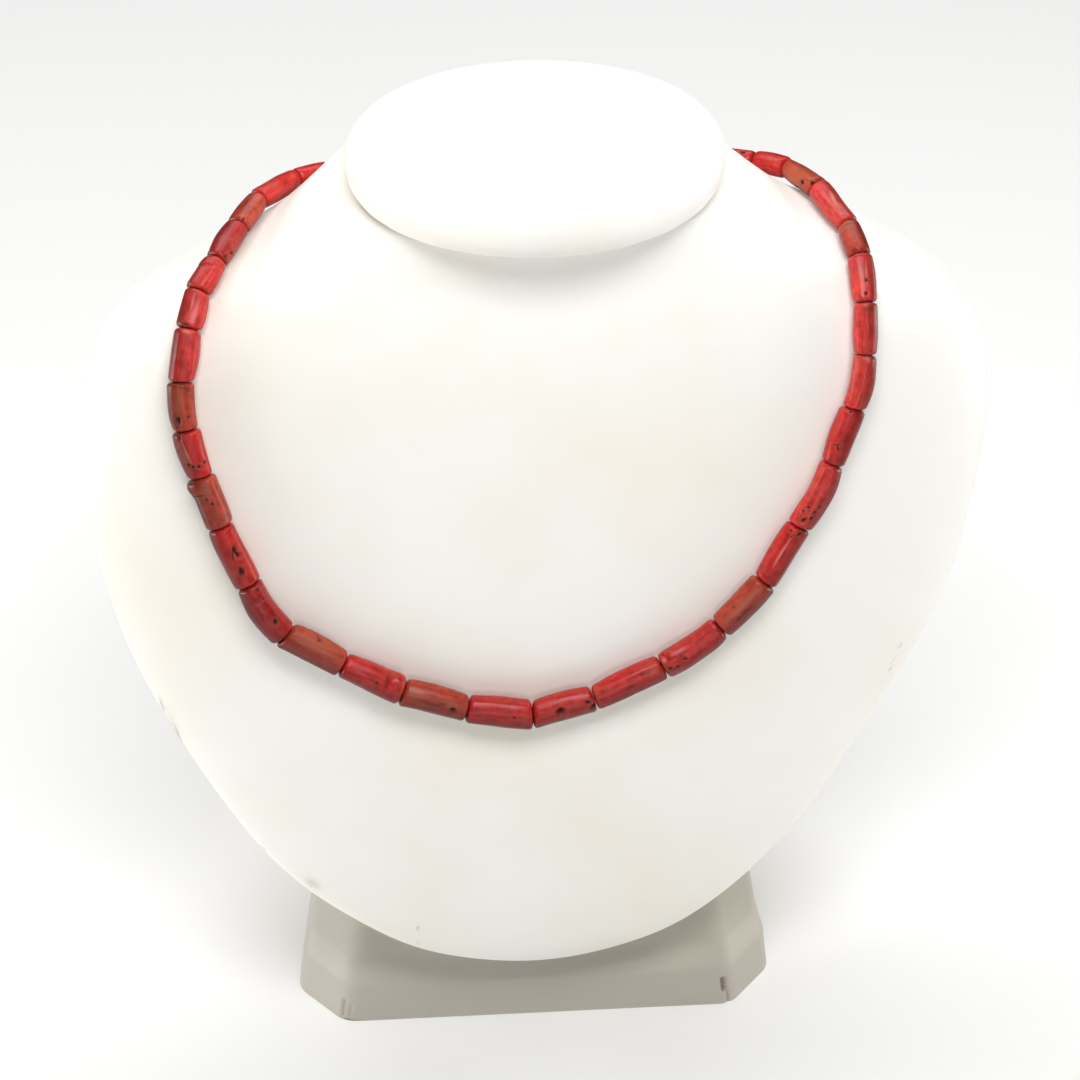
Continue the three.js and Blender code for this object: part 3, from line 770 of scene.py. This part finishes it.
def pedestal_points():
    """Pedestal grid with its soil and stain: rows go from the middle of the underside out to the foot's
    edge, up the wall to where it meets the bust, and in along the bust's underside to the middle."""
    columns = 8 * (CORNER_COLUMNS + SIDE_COLUMNS)
    levels = np.linspace(0, PEDESTAL_LEVELS[-1, 0], WALL_SAMPLES)
    probe = np.broadcast_to(levels[:, None], (len(levels), columns))
    plan = turned(pedestal_outline(probe))
    depth = inside_bust(plan[..., 0], plan[..., 1], probe)
    top = first_crossing(depth.T, levels) - GAP
    share = np.linspace(0, 1, WALL_ROWS)[:, None] ** WALL_CROWDING
    z = share * top[None, :]
    wall, soil = fold_corners(pedestal_outline(z), z)
    wall = turned(wall)
    middle = np.array(SEAT_MIDDLE)
    shrink = np.linspace(1, 0, SEAT_ROWS + 1)[1:, None, None]
    seat = middle + (wall[-1] - middle) * shrink
    seat_z = seat_height(seat[..., 0], seat[..., 1]) - GAP
    foot = wall[0] * np.array(FOOT_ROWS)[:, None, None]
    plan = np.vstack([foot, wall, seat])
    foot_z = np.zeros((len(foot), columns))
    z = np.vstack([foot_z, np.maximum(z, 0), np.minimum(seat_z, top.max())])
    hidden = np.zeros((len(seat), columns))
    return np.dstack([plan, z]), np.vstack([foot_z, soil, hidden])


def fold_corners(wall, z):
    """Sinks the folds of the cover into the wall and gives their soil: each fold is a narrow bell curve
    round the wall, near its corner, between the fold's lower and upper end."""
    across = np.cumsum(np.linalg.norm(np.diff(wall, axis=1, prepend=wall[:, -1:]), axis=-1), axis=1)
    soil = np.zeros(z.shape)
    inward = unit(-wall)
    for corner, place, low, high, depth, width, dirt in FOLDS:
        column = corner * (CORNER_COLUMNS + SIDE_COLUMNS) + CORNER_COLUMNS // 2
        apart = across - across[:, column : column + 1] - place
        ends = np.clip((z - low) / FOLD_FADE, 0, 1) * np.clip((high - z) / FOLD_FADE, 0, 1)
        fold = np.exp(-((apart / width) ** 2)) * ends
        wall = wall + inward * (depth * fold)[..., None]
        soil = np.maximum(soil, dirt * fold)
    return wall, soil


def strand_line():
    """Closed centre line of the strand and its outward directions: the route's heights and bearings by the
    uniform cubic, laid on the skin and lifted along its normal."""
    round_again = np.array([0, 360])
    stops = np.vstack([ROUTE[-1:] - round_again, ROUTE, ROUTE[:2] + round_again])
    near = [stops[k : k + len(ROUTE), None] for k in range(4)]
    path = cubic(*near, (np.arange(ROUTE_STEPS) / ROUTE_STEPS)[None, :, None]).reshape(-1, 2)
    t, bearing = height_to_t(path[:, 0]), np.radians(path[:, 1])
    outward = skin_normal(t, bearing)
    points = skin(t, bearing) + LIFT * outward
    return np.vstack([points, points[:1]]), np.vstack([outward, outward[:1]])


def bead_ends():
    """Points and outward directions of the bead ends round the loop: the row of beads fills what the
    clasp leaves."""
    line, outward = strand_line()
    run = run_along(line)
    lengths = np.array([bead[0] for bead in BEADS])
    stretch = (run[-1] - CLASP["length"]) / lengths.sum()
    places = CLASP["length"] / 2 + np.concatenate([[0], np.cumsum(lengths)]) * stretch
    return read_along(places, run, line), unit(read_along(places, run, outward))


def bead_frames(ends, outward):
    """For each bead its middle, its chord, its axes (along it, towards the inside of the loop, away from the
    skin), and the slopes of its two end faces, which share the turn at each joint with the next bead."""
    runs = np.diff(ends, axis=0)
    chord = np.linalg.norm(runs, axis=1)
    along = unit(runs)
    across = unit(np.cross(outward[:-1] + outward[1:], along))
    up = np.cross(along, across)
    clasp = unit(ends[:1] - ends[-1:])

    def dot(a, b):
        return (a * b).sum(-1)

    def slopes(neighbour):
        share = along + neighbour
        return -np.stack([dot(share, across), dot(share, up)], -1) / dot(share, along)[:, None]

    first = slopes(np.vstack([clasp, along[:-1]]))
    second = slopes(np.vstack([along[1:], clasp]))
    return (ends[:-1] + ends[1:]) / 2, chord, np.stack([along, across, up], 1), first, second


def bead_profile(length):
    """Rows of a bead: from one mouth of the bore over the outside to the other mouth, and back through the
    bore. Gives each row's place along the bead and how far it stands out, 0 at the bore and 1 at the girth.
    Each end is a quarter of a superellipse."""
    angle = np.linspace(0, np.pi / 2, DOME_ROWS)
    power = 2 / DOME_POWER
    swell = np.sin(angle) ** power
    depth = DOME * (1 - np.maximum(np.cos(angle), 0) ** power)
    half = length / 2
    body = np.linspace(-half + DOME, half - DOME, BODY_ROWS)[1:-1]
    bore = np.linspace(half, -half, BORE_ROWS + 2)[1:-1]
    x = np.concatenate([-half + depth, body, half - depth[::-1], bore])
    out = np.concatenate([swell, np.ones(len(body)), swell[::-1], 0 * bore])
    return x[:, None], out[:, None]


def blot(mark, x, angle, half, radius):
    """Strength of a mark over a bead, 1 in its middle: a bell curve with a broad top, of the distance in the
    mark's own half length and half width, with an uneven outline. A ring is strong only round its edge, more
    on one side than the other."""
    kind, place, side, length, width, _, turn = mark
    spin = math.radians(turn)
    dx = x - place * half
    dy = wrapped(angle - math.radians(side)) * radius
    a = (dx * math.cos(spin) + dy * math.sin(spin)) / (length / 2)
    b = (dy * math.cos(spin) - dx * math.sin(spin)) / (width / 2)
    bearing = np.arctan2(b, a)
    uneven = 1 + sum(h * np.sin(n * bearing + at) for (n, h), at in zip(UNEVEN, (side, turn), strict=True))
    far = np.sqrt((a * a + b * b) * uneven)
    if kind == "ring":
        worn = 0.6 + 0.4 * np.sin(bearing + side)
        return RING_STRENGTH * worn * np.exp(-(((far - RING_PLACE) / RING_WIDTH) ** 2))
    return np.exp(-(far**3))


def wrapped(angle):
    """Angles brought to within half a turn of 0."""
    return np.arctan2(np.sin(angle), np.cos(angle))


def bead_marks(number, rng):
    """A bead's own marks, or a few small pores on a bead round the nape."""
    if number not in NAPE_BEADS:
        return MARKS.get(number, [])
    pores = []
    for _ in range(rng.integers(PORES[0], PORES[1] + 1)):
        size = rng.uniform(*PORE_WIDTHS)
        place, side = rng.uniform(-PORE_REACH, PORE_REACH), rng.uniform(0, 360)
        turn = rng.uniform(-PORE_TURN, PORE_TURN)
        pores.append(("pit", place, side, size * 1.3, size, size * 0.5, turn))
    return pores


def facets(angle, rng):
    """Section of a ground bead as a part of its girth: the radius of a regular polygon, the cosine of half
    its step over the cosine of the way from the nearest side's middle, brought part of the way to round."""
    sides = rng.integers(FACET_SIDES[0], FACET_SIDES[1] + 1)
    step = 2 * np.pi / sides
    from_middle = (angle + rng.uniform(0, step)) % step - step / 2
    polygon = math.cos(step / 2) / np.cos(from_middle)
    return 1 + FACET * (polygon / polygon.mean() - 1)


def bead_points(number, length, first, second):
    """Local grid of a bead in millimetres, X along it, with its grain, pits, rust, stains, scars, painted
    highlights and painted shade.

    The outside is a tapered, slightly flat barrel with ground facets, slow lumps and at most one knob, bowed
    by a parabola, with the marks sunk into it. Its rings turn from one end face's slope to the other's. The
    painted shade is half a cosine round the bead, strongest on the side away from the neck, where shade
    falls."""
    _, girth, taper, bow, flat, _, *knob = BEADS[number - 1]
    rng = np.random.default_rng(number)
    half = length / 2
    x, out = bead_profile(length)
    angle = round_angles(BEAD_COLUMNS)
    place = x / half
    plain = girth / 2 * (1 + taper * place) * (1 + flat * np.cos(2 * angle))
    plain = plain * (1 + SWELL * (1 / 3 - place**2))
    radius = plain * facets(angle, rng)
    for _ in range(LUMP_WAVES):
        around, reach = rng.integers(1, 4), rng.uniform(*LUMP_LENGTHS)
        radius = radius + LUMP / 2 * np.cos(around * angle + 2 * np.pi * x / reach + rng.uniform(0, 6))
    if knob:
        at, side, height = knob[0]
        near = ((place - at) / KNOB_SPREAD) ** 2 + (wrapped(angle - math.radians(side)) / KNOB_WIDTH) ** 2
        radius = radius + height * np.exp(-near)
    fields = {kind: np.zeros(radius.shape) for kind in ("pit", "rust", "stain", "scar")}
    # Pale marks go into the scar field: mostly painted highlights, and one chip
    shown_as = {"crack": "pit", "pale": "scar", "ring": "scar"}
    for mark in bead_marks(number, rng):
        strength = blot(mark, x, angle, half, girth / 2)
        radius = radius - mark[5] * strength
        key = shown_as.get(mark[0], mark[0])
        if key in fields:
            fields[key] = np.maximum(fields[key], strength)
        if key == "pit":
            fields["rust"] = np.maximum(fields["rust"], PIT_RUST * strength**RUST_SPREAD)
    bore = BORE_DIAMETER / 2
    radius = bore + out * np.maximum(radius - bore, 0)
    y = np.where(out > 0, bow * (1 - place**2), 0) * out + radius * np.cos(angle)
    z = radius * np.sin(angle)
    ahead = (1 + place) / 2
    lean = (first[0] * y + first[1] * z) * (1 - ahead) + (second[0] * y + second[1] * z) * ahead
    points = np.stack([x + lean, y, z], -1)
    grain = points + (number * GRAIN_STEP, 0, 0)
    # Painted shade: half a cosine round the bead, strongest on the side away from the neck
    fields["film"] = np.broadcast_to(0.5 - 0.5 * np.cos(angle), radius.shape)
    return points, {"grain": grain, **fields}


def thread_points(ends):
    """Two-ply thread: a round section carried along the line through the bead ends, from one half of the
    clasp to the other, with two lobes that turn along it."""
    settings = bpy.context.scene.necklace_strand
    axis = unit(ends[0] - ends[-1])
    middle = (ends[0] + ends[-1]) / 2
    reach = CLASP["wall"] + GAP
    line = np.vstack([middle + reach * axis, ends, middle - reach * axis])
    run = run_along(line)
    place = np.linspace(0, run[-1], THREAD_ROWS)
    path = read_along(place, run, line)
    along = unit(np.gradient(path, axis=0))
    across = unit(np.cross((0, 0, 1), along))
    up = np.cross(along, across)
    angle = round_angles(THREAD_COLUMNS)
    lobes = np.abs(np.cos(angle - 2 * np.pi * place[:, None] / TWIST))
    radius = settings.thread_diameter / MM / 2 * (1 - PLY_DEPTH + PLY_DEPTH * lobes)
    ring = np.cos(angle)[..., None] * across[:, None] + np.sin(angle)[..., None] * up[:, None]
    points = path[:, None] + radius[..., None] * ring
    tips = [np.broadcast_to(tip, points[:1].shape) for tip in (path[0], path[-1])]
    return np.concatenate([tips[0], points, tips[1]])


def clasp_points(middle, axis, length):
    """One half of the clasp: its profile turned about its axis, from the middle of its inner face over the
    barrel, the shoulder and the neck into the blind hole for the thread. A cosine round it knurls a band."""
    radius, neck, hole = CLASP["radius"], CLASP["neck_radius"], BORE_DIAMETER / 2
    shoulder, wall = length - CLASP["shoulder"], CLASP["wall"]
    start, end = KNURL_BAND
    profile = [
        (0, GAP / 2),
        (radius - EDGE, GAP / 2),
        (radius, GAP / 2 + EDGE),
        (radius, start - 2 * EDGE),
        (radius - EDGE, start - EDGE),
        (radius - EDGE, start),
        (radius, start + EDGE),
        *((radius, y) for y in np.linspace(start + EDGE, end - EDGE, 8)[1:-1]),
        (radius, end - EDGE),
        (radius - EDGE, end),
        (radius - EDGE, end + EDGE),
        (radius, end + 2 * EDGE),
        (radius, shoulder - EDGE),
        (radius - EDGE, shoulder),
        (neck + EDGE, length - EDGE),
        (neck, length),
        (hole + EDGE, length),
        (hole, length - EDGE),
        (hole, wall + EDGE),
        (hole - EDGE, wall),
        (0, wall),
    ]
    r, y = np.array(profile).T[:, :, None]
    angle = round_angles(CLASP_COLUMNS)
    knurled = (y > start) & (y < end)
    r = r + np.where(knurled, KNURL_HEIGHT * (np.cos(KNURLS * angle) - 1), 0)
    across = unit(np.cross((0, 0, 1), axis))
    up = np.cross(axis, across)
    ring = np.cos(angle)[..., None] * across + np.sin(angle)[..., None] * up
    return middle + r[..., None] * ring + y[..., None] * axis


def add(tree, kind, inputs=None, output=0, **settings):
    """Adds a node and gives the output that is asked for: settings go on the node, and inputs give each named
    or numbered socket a value or a link."""
    node = tree.nodes.new(kind)
    for key, value in settings.items():
        setattr(node, key, value)
    for key, value in (inputs or {}).items():
        if isinstance(value, bpy.types.NodeSocket):
            tree.links.new(value, node.inputs[key])
        else:
            node.inputs[key].default_value = value
    return node.outputs[output] if node.outputs else None


def new_material(name, colour):
    """Material with an empty tree, shown in colour where no shader is drawn."""
    material = bpy.data.materials.new(name)
    material.use_nodes = True
    material.diffuse_color = (*colour, 1)
    material.node_tree.nodes.clear()
    return material, material.node_tree


def finish_material(tree, inputs):
    """Ends a tree in a Principled shader with the given sockets."""
    shader = add(tree, "ShaderNodeBsdfPrincipled", inputs)
    add(tree, "ShaderNodeOutputMaterial", {"Surface": shader})


def painted(tree, base, layers):
    """Colour of a surface: each layer covers the ones below it by its factor."""
    colour = (*base, 1)
    for factor, over in layers:
        colour = add(tree, "ShaderNodeMix", {0: factor, 6: colour, 7: (*over, 1)}, 2, data_type="RGBA")
    return colour


def embossed_leatherette(part):
    """Cream PVC leatherette, embossed and stretched over the form: satin, with a fine pebble that only just
    breaks the light, a little yellowing, grey scuffs and brown smears where it has been handled."""
    settings = bpy.context.scene.necklace_bust
    clean = tuple(getattr(settings, part))
    aged = tuple(a * b for a, b in zip(clean, settings.aged, strict=True))
    material, tree = new_material(f"embossed leatherette {part}", clean)
    place = add(tree, "ShaderNodeTexCoord", None, "Object")
    cells = {"Vector": place, "Scale": 1 / settings.grain, "Randomness": 0.9}
    pebble = add(tree, "ShaderNodeTexVoronoi", cells, "Distance")
    # Yellowing in clouds about 40 mm across
    clouds = add(tree, "ShaderNodeTexNoise", {"Vector": place, "Scale": 1 / (40 * MM), "Detail": 3}, "Fac")
    aging = add(tree, "ShaderNodeMapRange", {"Value": clouds, "From Min": 0.42, "From Max": 0.75})
    # Scuffs break into specks about 0.7 mm across
    broken = {"Vector": place, "Scale": 1 / (0.7 * MM), "Detail": 3, "Roughness": 0.7}
    specks = add(tree, "ShaderNodeTexNoise", broken, "Fac")
    marks = {}
    for name in ("soil", "stain"):
        strength = add(tree, "ShaderNodeAttribute", None, "Fac", attribute_name=name)
        marks[name] = add(tree, "ShaderNodeMath", {0: strength, 1: specks}, operation="MULTIPLY")
    rubbed = {"Value": marks["soil"], "From Min": 0.16, "From Max": 0.5, "To Max": 0.75}
    soiled = add(tree, "ShaderNodeMapRange", rubbed)
    colour = painted(tree, clean, [(aging, aged), (marks["stain"], settings.stain), (soiled, settings.soil)])
    bump = add(tree, "ShaderNodeBump", {"Height": pebble, "Strength": 0.25, "Distance": 0.03 * MM})
    finish_material(tree, {"Base Color": colour, "Roughness": 0.5, "IOR": 1.5, "Normal": bump})
    return material


def polished_coral(tone):
    """Red coral, ground to barrels and tumbled: an opaque stone with a satin polish, fine streaks along the
    branch it was cut from, orange-brown weathered patches, brown dirt in its pits and cracks, and painted
    shade, in the colour of that dirt, on the side that hangs away from the neck."""
    settings = bpy.context.scene.necklace_strand
    body = tuple(getattr(settings, tone))
    light = tuple(min(1, c * LIGHT_STREAK + 0.006) for c in body)
    dark = tuple(c * DARK_STREAK for c in body)
    material, tree = new_material(f"polished coral {tone}", body)
    # The grain is in millimetres
    grain = add(tree, "ShaderNodeAttribute", None, "Vector", attribute_name="grain")
    # Streaks about 0.5 mm wide and six times as long
    drawn = add(tree, "ShaderNodeMapping", {"Vector": grain, "Scale": (0.16, 1, 1)})
    streaks = add(tree, "ShaderNodeTexNoise", {"Vector": drawn, "Scale": 1 / 0.5, "Detail": 4}, "Fac")
    # Mottling about 1.3 mm across
    spotted = {"Vector": grain, "Scale": 1 / 1.3, "Detail": 5, "Roughness": 0.62}
    mottle = add(tree, "ShaderNodeTexNoise", spotted, "Fac")
    # Weathered clouds about 4 mm across
    clouds = add(tree, "ShaderNodeTexNoise", {"Vector": grain, "Scale": 1 / 4, "Detail": 3}, "Fac")
    surface = add(tree, "ShaderNodeMath", {0: streaks, 1: mottle}, operation="ADD")
    shade = add(tree, "ShaderNodeMapRange", {"Value": surface, "From Min": 0.75, "From Max": 1.25})
    thin = {"Value": clouds, "From Min": 0.55, "From Max": 0.75, "To Max": 0.45}
    cloudy = add(tree, "ShaderNodeMapRange", thin)
    # The cover for the side of a bead away from the neck is painted shade
    covers = {"rust": 0.75, "stain": streaks, "scar": 0.55, "film": PAINTED_SHADE_STRENGTH, "pit": 1}
    marks = {}
    for name, cover in covers.items():
        strength = add(tree, "ShaderNodeAttribute", None, "Fac", attribute_name=name)
        marks[name] = add(tree, "ShaderNodeMath", {0: strength, 1: cover}, operation="MULTIPLY")
    layers = [
        (shade, light),
        (cloudy, settings.weathered),
        (marks["rust"], settings.weathered),
        (marks["stain"], settings.pit),
        # Scars, chips and painted highlights, in the scar colour
        (marks["scar"], settings.scar),
        # Painted shade on the side away from the neck, in the colour of the pits' dirt
        (marks["film"], settings.pit),
        (marks["pit"], settings.pit),
    ]
    colour = painted(tree, dark, layers)
    gloss = {"Value": mottle, "To Min": settings.polish - 0.12, "To Max": settings.polish + 0.2}
    worn = add(tree, "ShaderNodeMapRange", gloss)
    dulled = {0: marks["pit"], 1: 0.5, 2: worn}
    rough = add(tree, "ShaderNodeMath", dulled, operation="MULTIPLY_ADD", use_clamp=True)
    bump = add(tree, "ShaderNodeBump", {"Height": surface, "Strength": 0.5, "Distance": 0.06 * MM})
    polish = {"Base Color": colour, "Roughness": rough, "IOR": 1.5, "Specular IOR Level": 0.3, "Normal": bump}
    finish_material(tree, polish)
    return material


def twisted_cotton():
    """Undyed cotton thread: matt, with fine fibres that vary its colour."""
    colour = tuple(bpy.context.scene.necklace_strand.thread)
    material, tree = new_material("twisted cotton thread", colour)
    place = add(tree, "ShaderNodeTexCoord", None, "Object")
    # Fibres about 0.15 mm apart
    fibres = add(tree, "ShaderNodeTexNoise", {"Vector": place, "Scale": 1 / (0.15 * MM), "Detail": 2}, "Fac")
    shade = painted(tree, tuple(c * 0.7 for c in colour), [(fibres, colour)])
    finish_material(tree, {"Base Color": shade, "Roughness": 0.9})
    return material


def gold_plated_brass():
    """Turned brass with a thin gold plate: bright warm metal with fine rubbing that softens its shine."""
    colour = tuple(bpy.context.scene.necklace_strand.plating)
    material, tree = new_material("gold-plated brass", colour)
    place = add(tree, "ShaderNodeTexCoord", None, "Object")
    # Rubbed spots about 0.6 mm across
    rubbing = add(tree, "ShaderNodeTexNoise", {"Vector": place, "Scale": 1 / (0.6 * MM), "Detail": 4}, "Fac")
    shade = painted(tree, tuple(c * 0.8 for c in colour), [(rubbing, colour)])
    rough = add(tree, "ShaderNodeMapRange", {"Value": rubbing, "To Min": 0.18, "To Max": 0.42})
    finish_material(tree, {"Base Color": shade, "Metallic": 1.0, "Roughness": rough})
    return material


def matt_card():
    """White card, pressed smooth: a plain matt floor."""
    colour = tuple(bpy.context.scene.necklace_stage.floor)
    material, tree = new_material("matt white card", colour)
    finish_material(tree, {"Base Color": (*colour, 1), "Roughness": 0.9})
    return material


def shared(make, *arguments):
    """The material that a function makes, made once and then found again by its key."""
    key = "_".join([make.__name__, *arguments])
    for material in bpy.data.materials:
        if material.get("made_by") == key:
            return material
    material = make(*arguments)
    material["made_by"] = key
    return material


class NECKLACE_OT_bust(bpy.types.Operator):
    """Build the chest and neck under its leatherette cover"""

    bl_idname = "necklace.bust"
    bl_label = "Bust form"

    def execute(self, context):
        points, soil, stain = bust_points()
        piece = closed_surface("covered_bust", points, soil=soil, stain=stain)
        fit(piece, "bust_form", shared(embossed_leatherette, "cover"))
        return {"FINISHED"}


class NECKLACE_OT_cap(bpy.types.Operator):
    """Build the oval cap with the gathers round its lower edge"""

    bl_idname = "necklace.cap"
    bl_label = "Neck cap"

    def execute(self, context):
        piece = closed_surface("covered_cap", cap_points())
        fit(piece, "neck_cap", shared(embossed_leatherette, "cover"))
        return {"FINISHED"}


class NECKLACE_OT_pedestal(bpy.types.Operator):
    """Build the pedestal with the folds at its front corners"""

    bl_idname = "necklace.pedestal"
    bl_label = "Pedestal"

    def execute(self, context):
        points, soil = pedestal_points()
        piece = closed_surface("covered_pedestal", points, soil=soil, stain=soil)
        # The pedestal takes the greyer pedestal colour, painted shade for the shadow under the chest
        fit(piece, "pedestal", shared(embossed_leatherette, "pedestal"))
        return {"FINISHED"}


class NECKLACE_OT_beads(bpy.types.Operator):
    """Build every coral bead of the strand"""

    bl_idname = "necklace.beads"
    bl_label = "Coral beads"

    def execute(self, context):
        middles, chords, axes, first, second = bead_frames(*bead_ends())
        for i, bead in enumerate(BEADS):
            node, tone = f"bead_{i + 1:02}", bead[5]
            points, fields = bead_points(i + 1, chords[i] - BEAD_GAP, first[i], second[i])
            piece = closed_surface(f"coral_{node}", middles[i] + points @ axes[i], loop=True, **fields)
            fit(piece, node, shared(polished_coral, tone))
        return {"FINISHED"}


class NECKLACE_OT_thread(bpy.types.Operator):
    """Build the thread that runs through every bead"""

    bl_idname = "necklace.thread"
    bl_label = "Thread"

    def execute(self, context):
        piece = closed_surface("two_ply_thread", thread_points(bead_ends()[0]))
        fit(piece, "thread", shared(twisted_cotton))
        return {"FINISHED"}


class NECKLACE_OT_clasp(bpy.types.Operator):
    """Build both halves of the barrel clasp at the nape"""

    bl_idname = "necklace.clasp"
    bl_label = "Clasp"

    def execute(self, context):
        ends, _ = bead_ends()
        middle = (ends[0] + ends[-1]) / 2
        axis = unit(ends[0] - ends[-1])
        half = np.linalg.norm(ends[0] - ends[-1]) / 2 - GAP / 2
        for name, side in (("socket", -1), ("screw", 1)):
            piece = closed_surface(f"barrel_{name}", clasp_points(middle, side * axis, half))
            fit(piece, f"clasp_{name}", shared(gold_plated_brass))
        return {"FINISHED"}


class NECKLACE_OT_stage(bpy.types.Operator):
    """Build the floor, the lights and the camera"""

    bl_idname = "necklace.stage"
    bl_label = "Stage"

    def execute(self, context):
        scene = context.scene
        lay_floor(scene)
        hang_lights(scene, scene.necklace_stage)
        place_camera(scene)
        scene.view_settings.view_transform = "Standard"
        return {"FINISHED"}


def lay_floor(scene):
    """Floor: a square of card on the pedestal's underside level."""
    mesh = bpy.data.meshes.new("card_floor")
    corners = [(x * FLOOR_REACH, y * FLOOR_REACH, 0) for x, y in ((-1, -1), (1, -1), (1, 1), (-1, 1))]
    mesh.from_pydata(corners, [], [(0, 1, 2, 3)])
    mesh.materials.append(shared(matt_card))
    floor = bpy.data.objects.new("card_floor", mesh)
    scene.collection.objects.link(floor)


def hang_lights(scene, settings):
    """A little light from all round, a small softbox close above the chest, whose light falls off towards the
    pedestal, two low ones at the sides, one in front that softens the beads' shadows, and one high behind
    that whitens the floor."""
    world = bpy.data.worlds.new("studio")
    scene.world = world
    world.use_nodes = True
    world.node_tree.nodes.clear()
    sky = add(world.node_tree, "ShaderNodeBackground", {"Color": (1, 1, 1, 1), "Strength": settings.sky})
    add(world.node_tree, "ShaderNodeOutputWorld", {"Surface": sky})
    for name, place, aim, width, height in SOFTBOXES:
        light = bpy.data.lights.new(f"{name}_softbox", "AREA")
        light.shape = "RECTANGLE"
        light.size, light.size_y = width, height
        light.energy = getattr(settings, name)
        lamp = bpy.data.objects.new(f"{name}_softbox", light)
        lamp.location = place
        lamp.rotation_euler = (Vector(aim) - Vector(place)).to_track_quat("-Z", "Y").to_euler()
        scene.collection.objects.link(lamp)


def place_camera(scene):
    """Camera on a sphere round its target: azimuth from the front, elevation from the floor, and a roll that
    turns the picture clockwise."""
    azimuth, elevation, roll = (
        math.radians(a) for a in (CAMERA_AZIMUTH, CAMERA_ELEVATION, CAMERA_ROLL)
    )
    level = math.cos(elevation)
    back = Vector((math.sin(azimuth) * level, -math.cos(azimuth) * level, math.sin(elevation)))
    right = Vector((math.cos(azimuth), math.sin(azimuth), 0))
    up = back.cross(right)
    tilted_right = right * math.cos(roll) + up * math.sin(roll)
    tilted_up = up * math.cos(roll) - right * math.sin(roll)
    data = bpy.data.cameras.new("camera")
    data.sensor_width = SENSOR
    data.lens = SENSOR * FOCAL_PIXELS / PICTURE_SIDE
    data.clip_start, data.clip_end = 0.01, 20
    camera = bpy.data.objects.new("camera", data)
    turn = Matrix((tilted_right, tilted_up, back)).transposed().to_4x4()
    place = Vector(CAMERA_TARGET) * MM + back * (CAMERA_DISTANCE * MM)
    camera.matrix_world = Matrix.Translation(place) @ turn
    scene.collection.objects.link(camera)
    scene.camera = camera


class NECKLACE_PT_build(bpy.types.Panel):
    """Lists the pieces and their settings"""

    bl_idname = "NECKLACE_PT_build"
    bl_label = "Coral necklace"
    bl_space_type = "VIEW_3D"
    bl_region_type = "UI"
    bl_category = "Necklace"

    def draw(self, context):
        for operator in OPERATORS:
            self.layout.operator(operator.bl_idname)
        for group in SETTINGS:
            box = self.layout.box()
            settings = getattr(context.scene, group)
            for key in settings.__annotations__:
                box.prop(settings, key)


OPERATORS = (
    NECKLACE_OT_bust,
    NECKLACE_OT_cap,
    NECKLACE_OT_pedestal,
    NECKLACE_OT_beads,
    NECKLACE_OT_thread,
    NECKLACE_OT_clasp,
    NECKLACE_OT_stage,
)
SETTINGS = {
    "necklace_bust": BustSettings,
    "necklace_strand": StrandSettings,
    "necklace_stage": StageSettings,
}
CLASSES = (*SETTINGS.values(), *OPERATORS, NECKLACE_PT_build)


def register():
    """Adds the classes, and the settings to the scene."""
    for item in CLASSES:
        bpy.utils.register_class(item)
    for name, group in SETTINGS.items():
        setattr(bpy.types.Scene, name, PointerProperty(type=group))


def unregister():
    """Takes the settings and the classes away again."""
    for name in SETTINGS:
        delattr(bpy.types.Scene, name)
    for item in reversed(CLASSES):
        bpy.utils.unregister_class(item)


def main():
    register()
    bpy.ops.necklace.stage()
    bpy.ops.necklace.bust()
    bpy.ops.necklace.cap()
    bpy.ops.necklace.pedestal()
    bpy.ops.necklace.beads()
    bpy.ops.necklace.thread()
    bpy.ops.necklace.clasp()


if __name__ == "__main__":
    main()
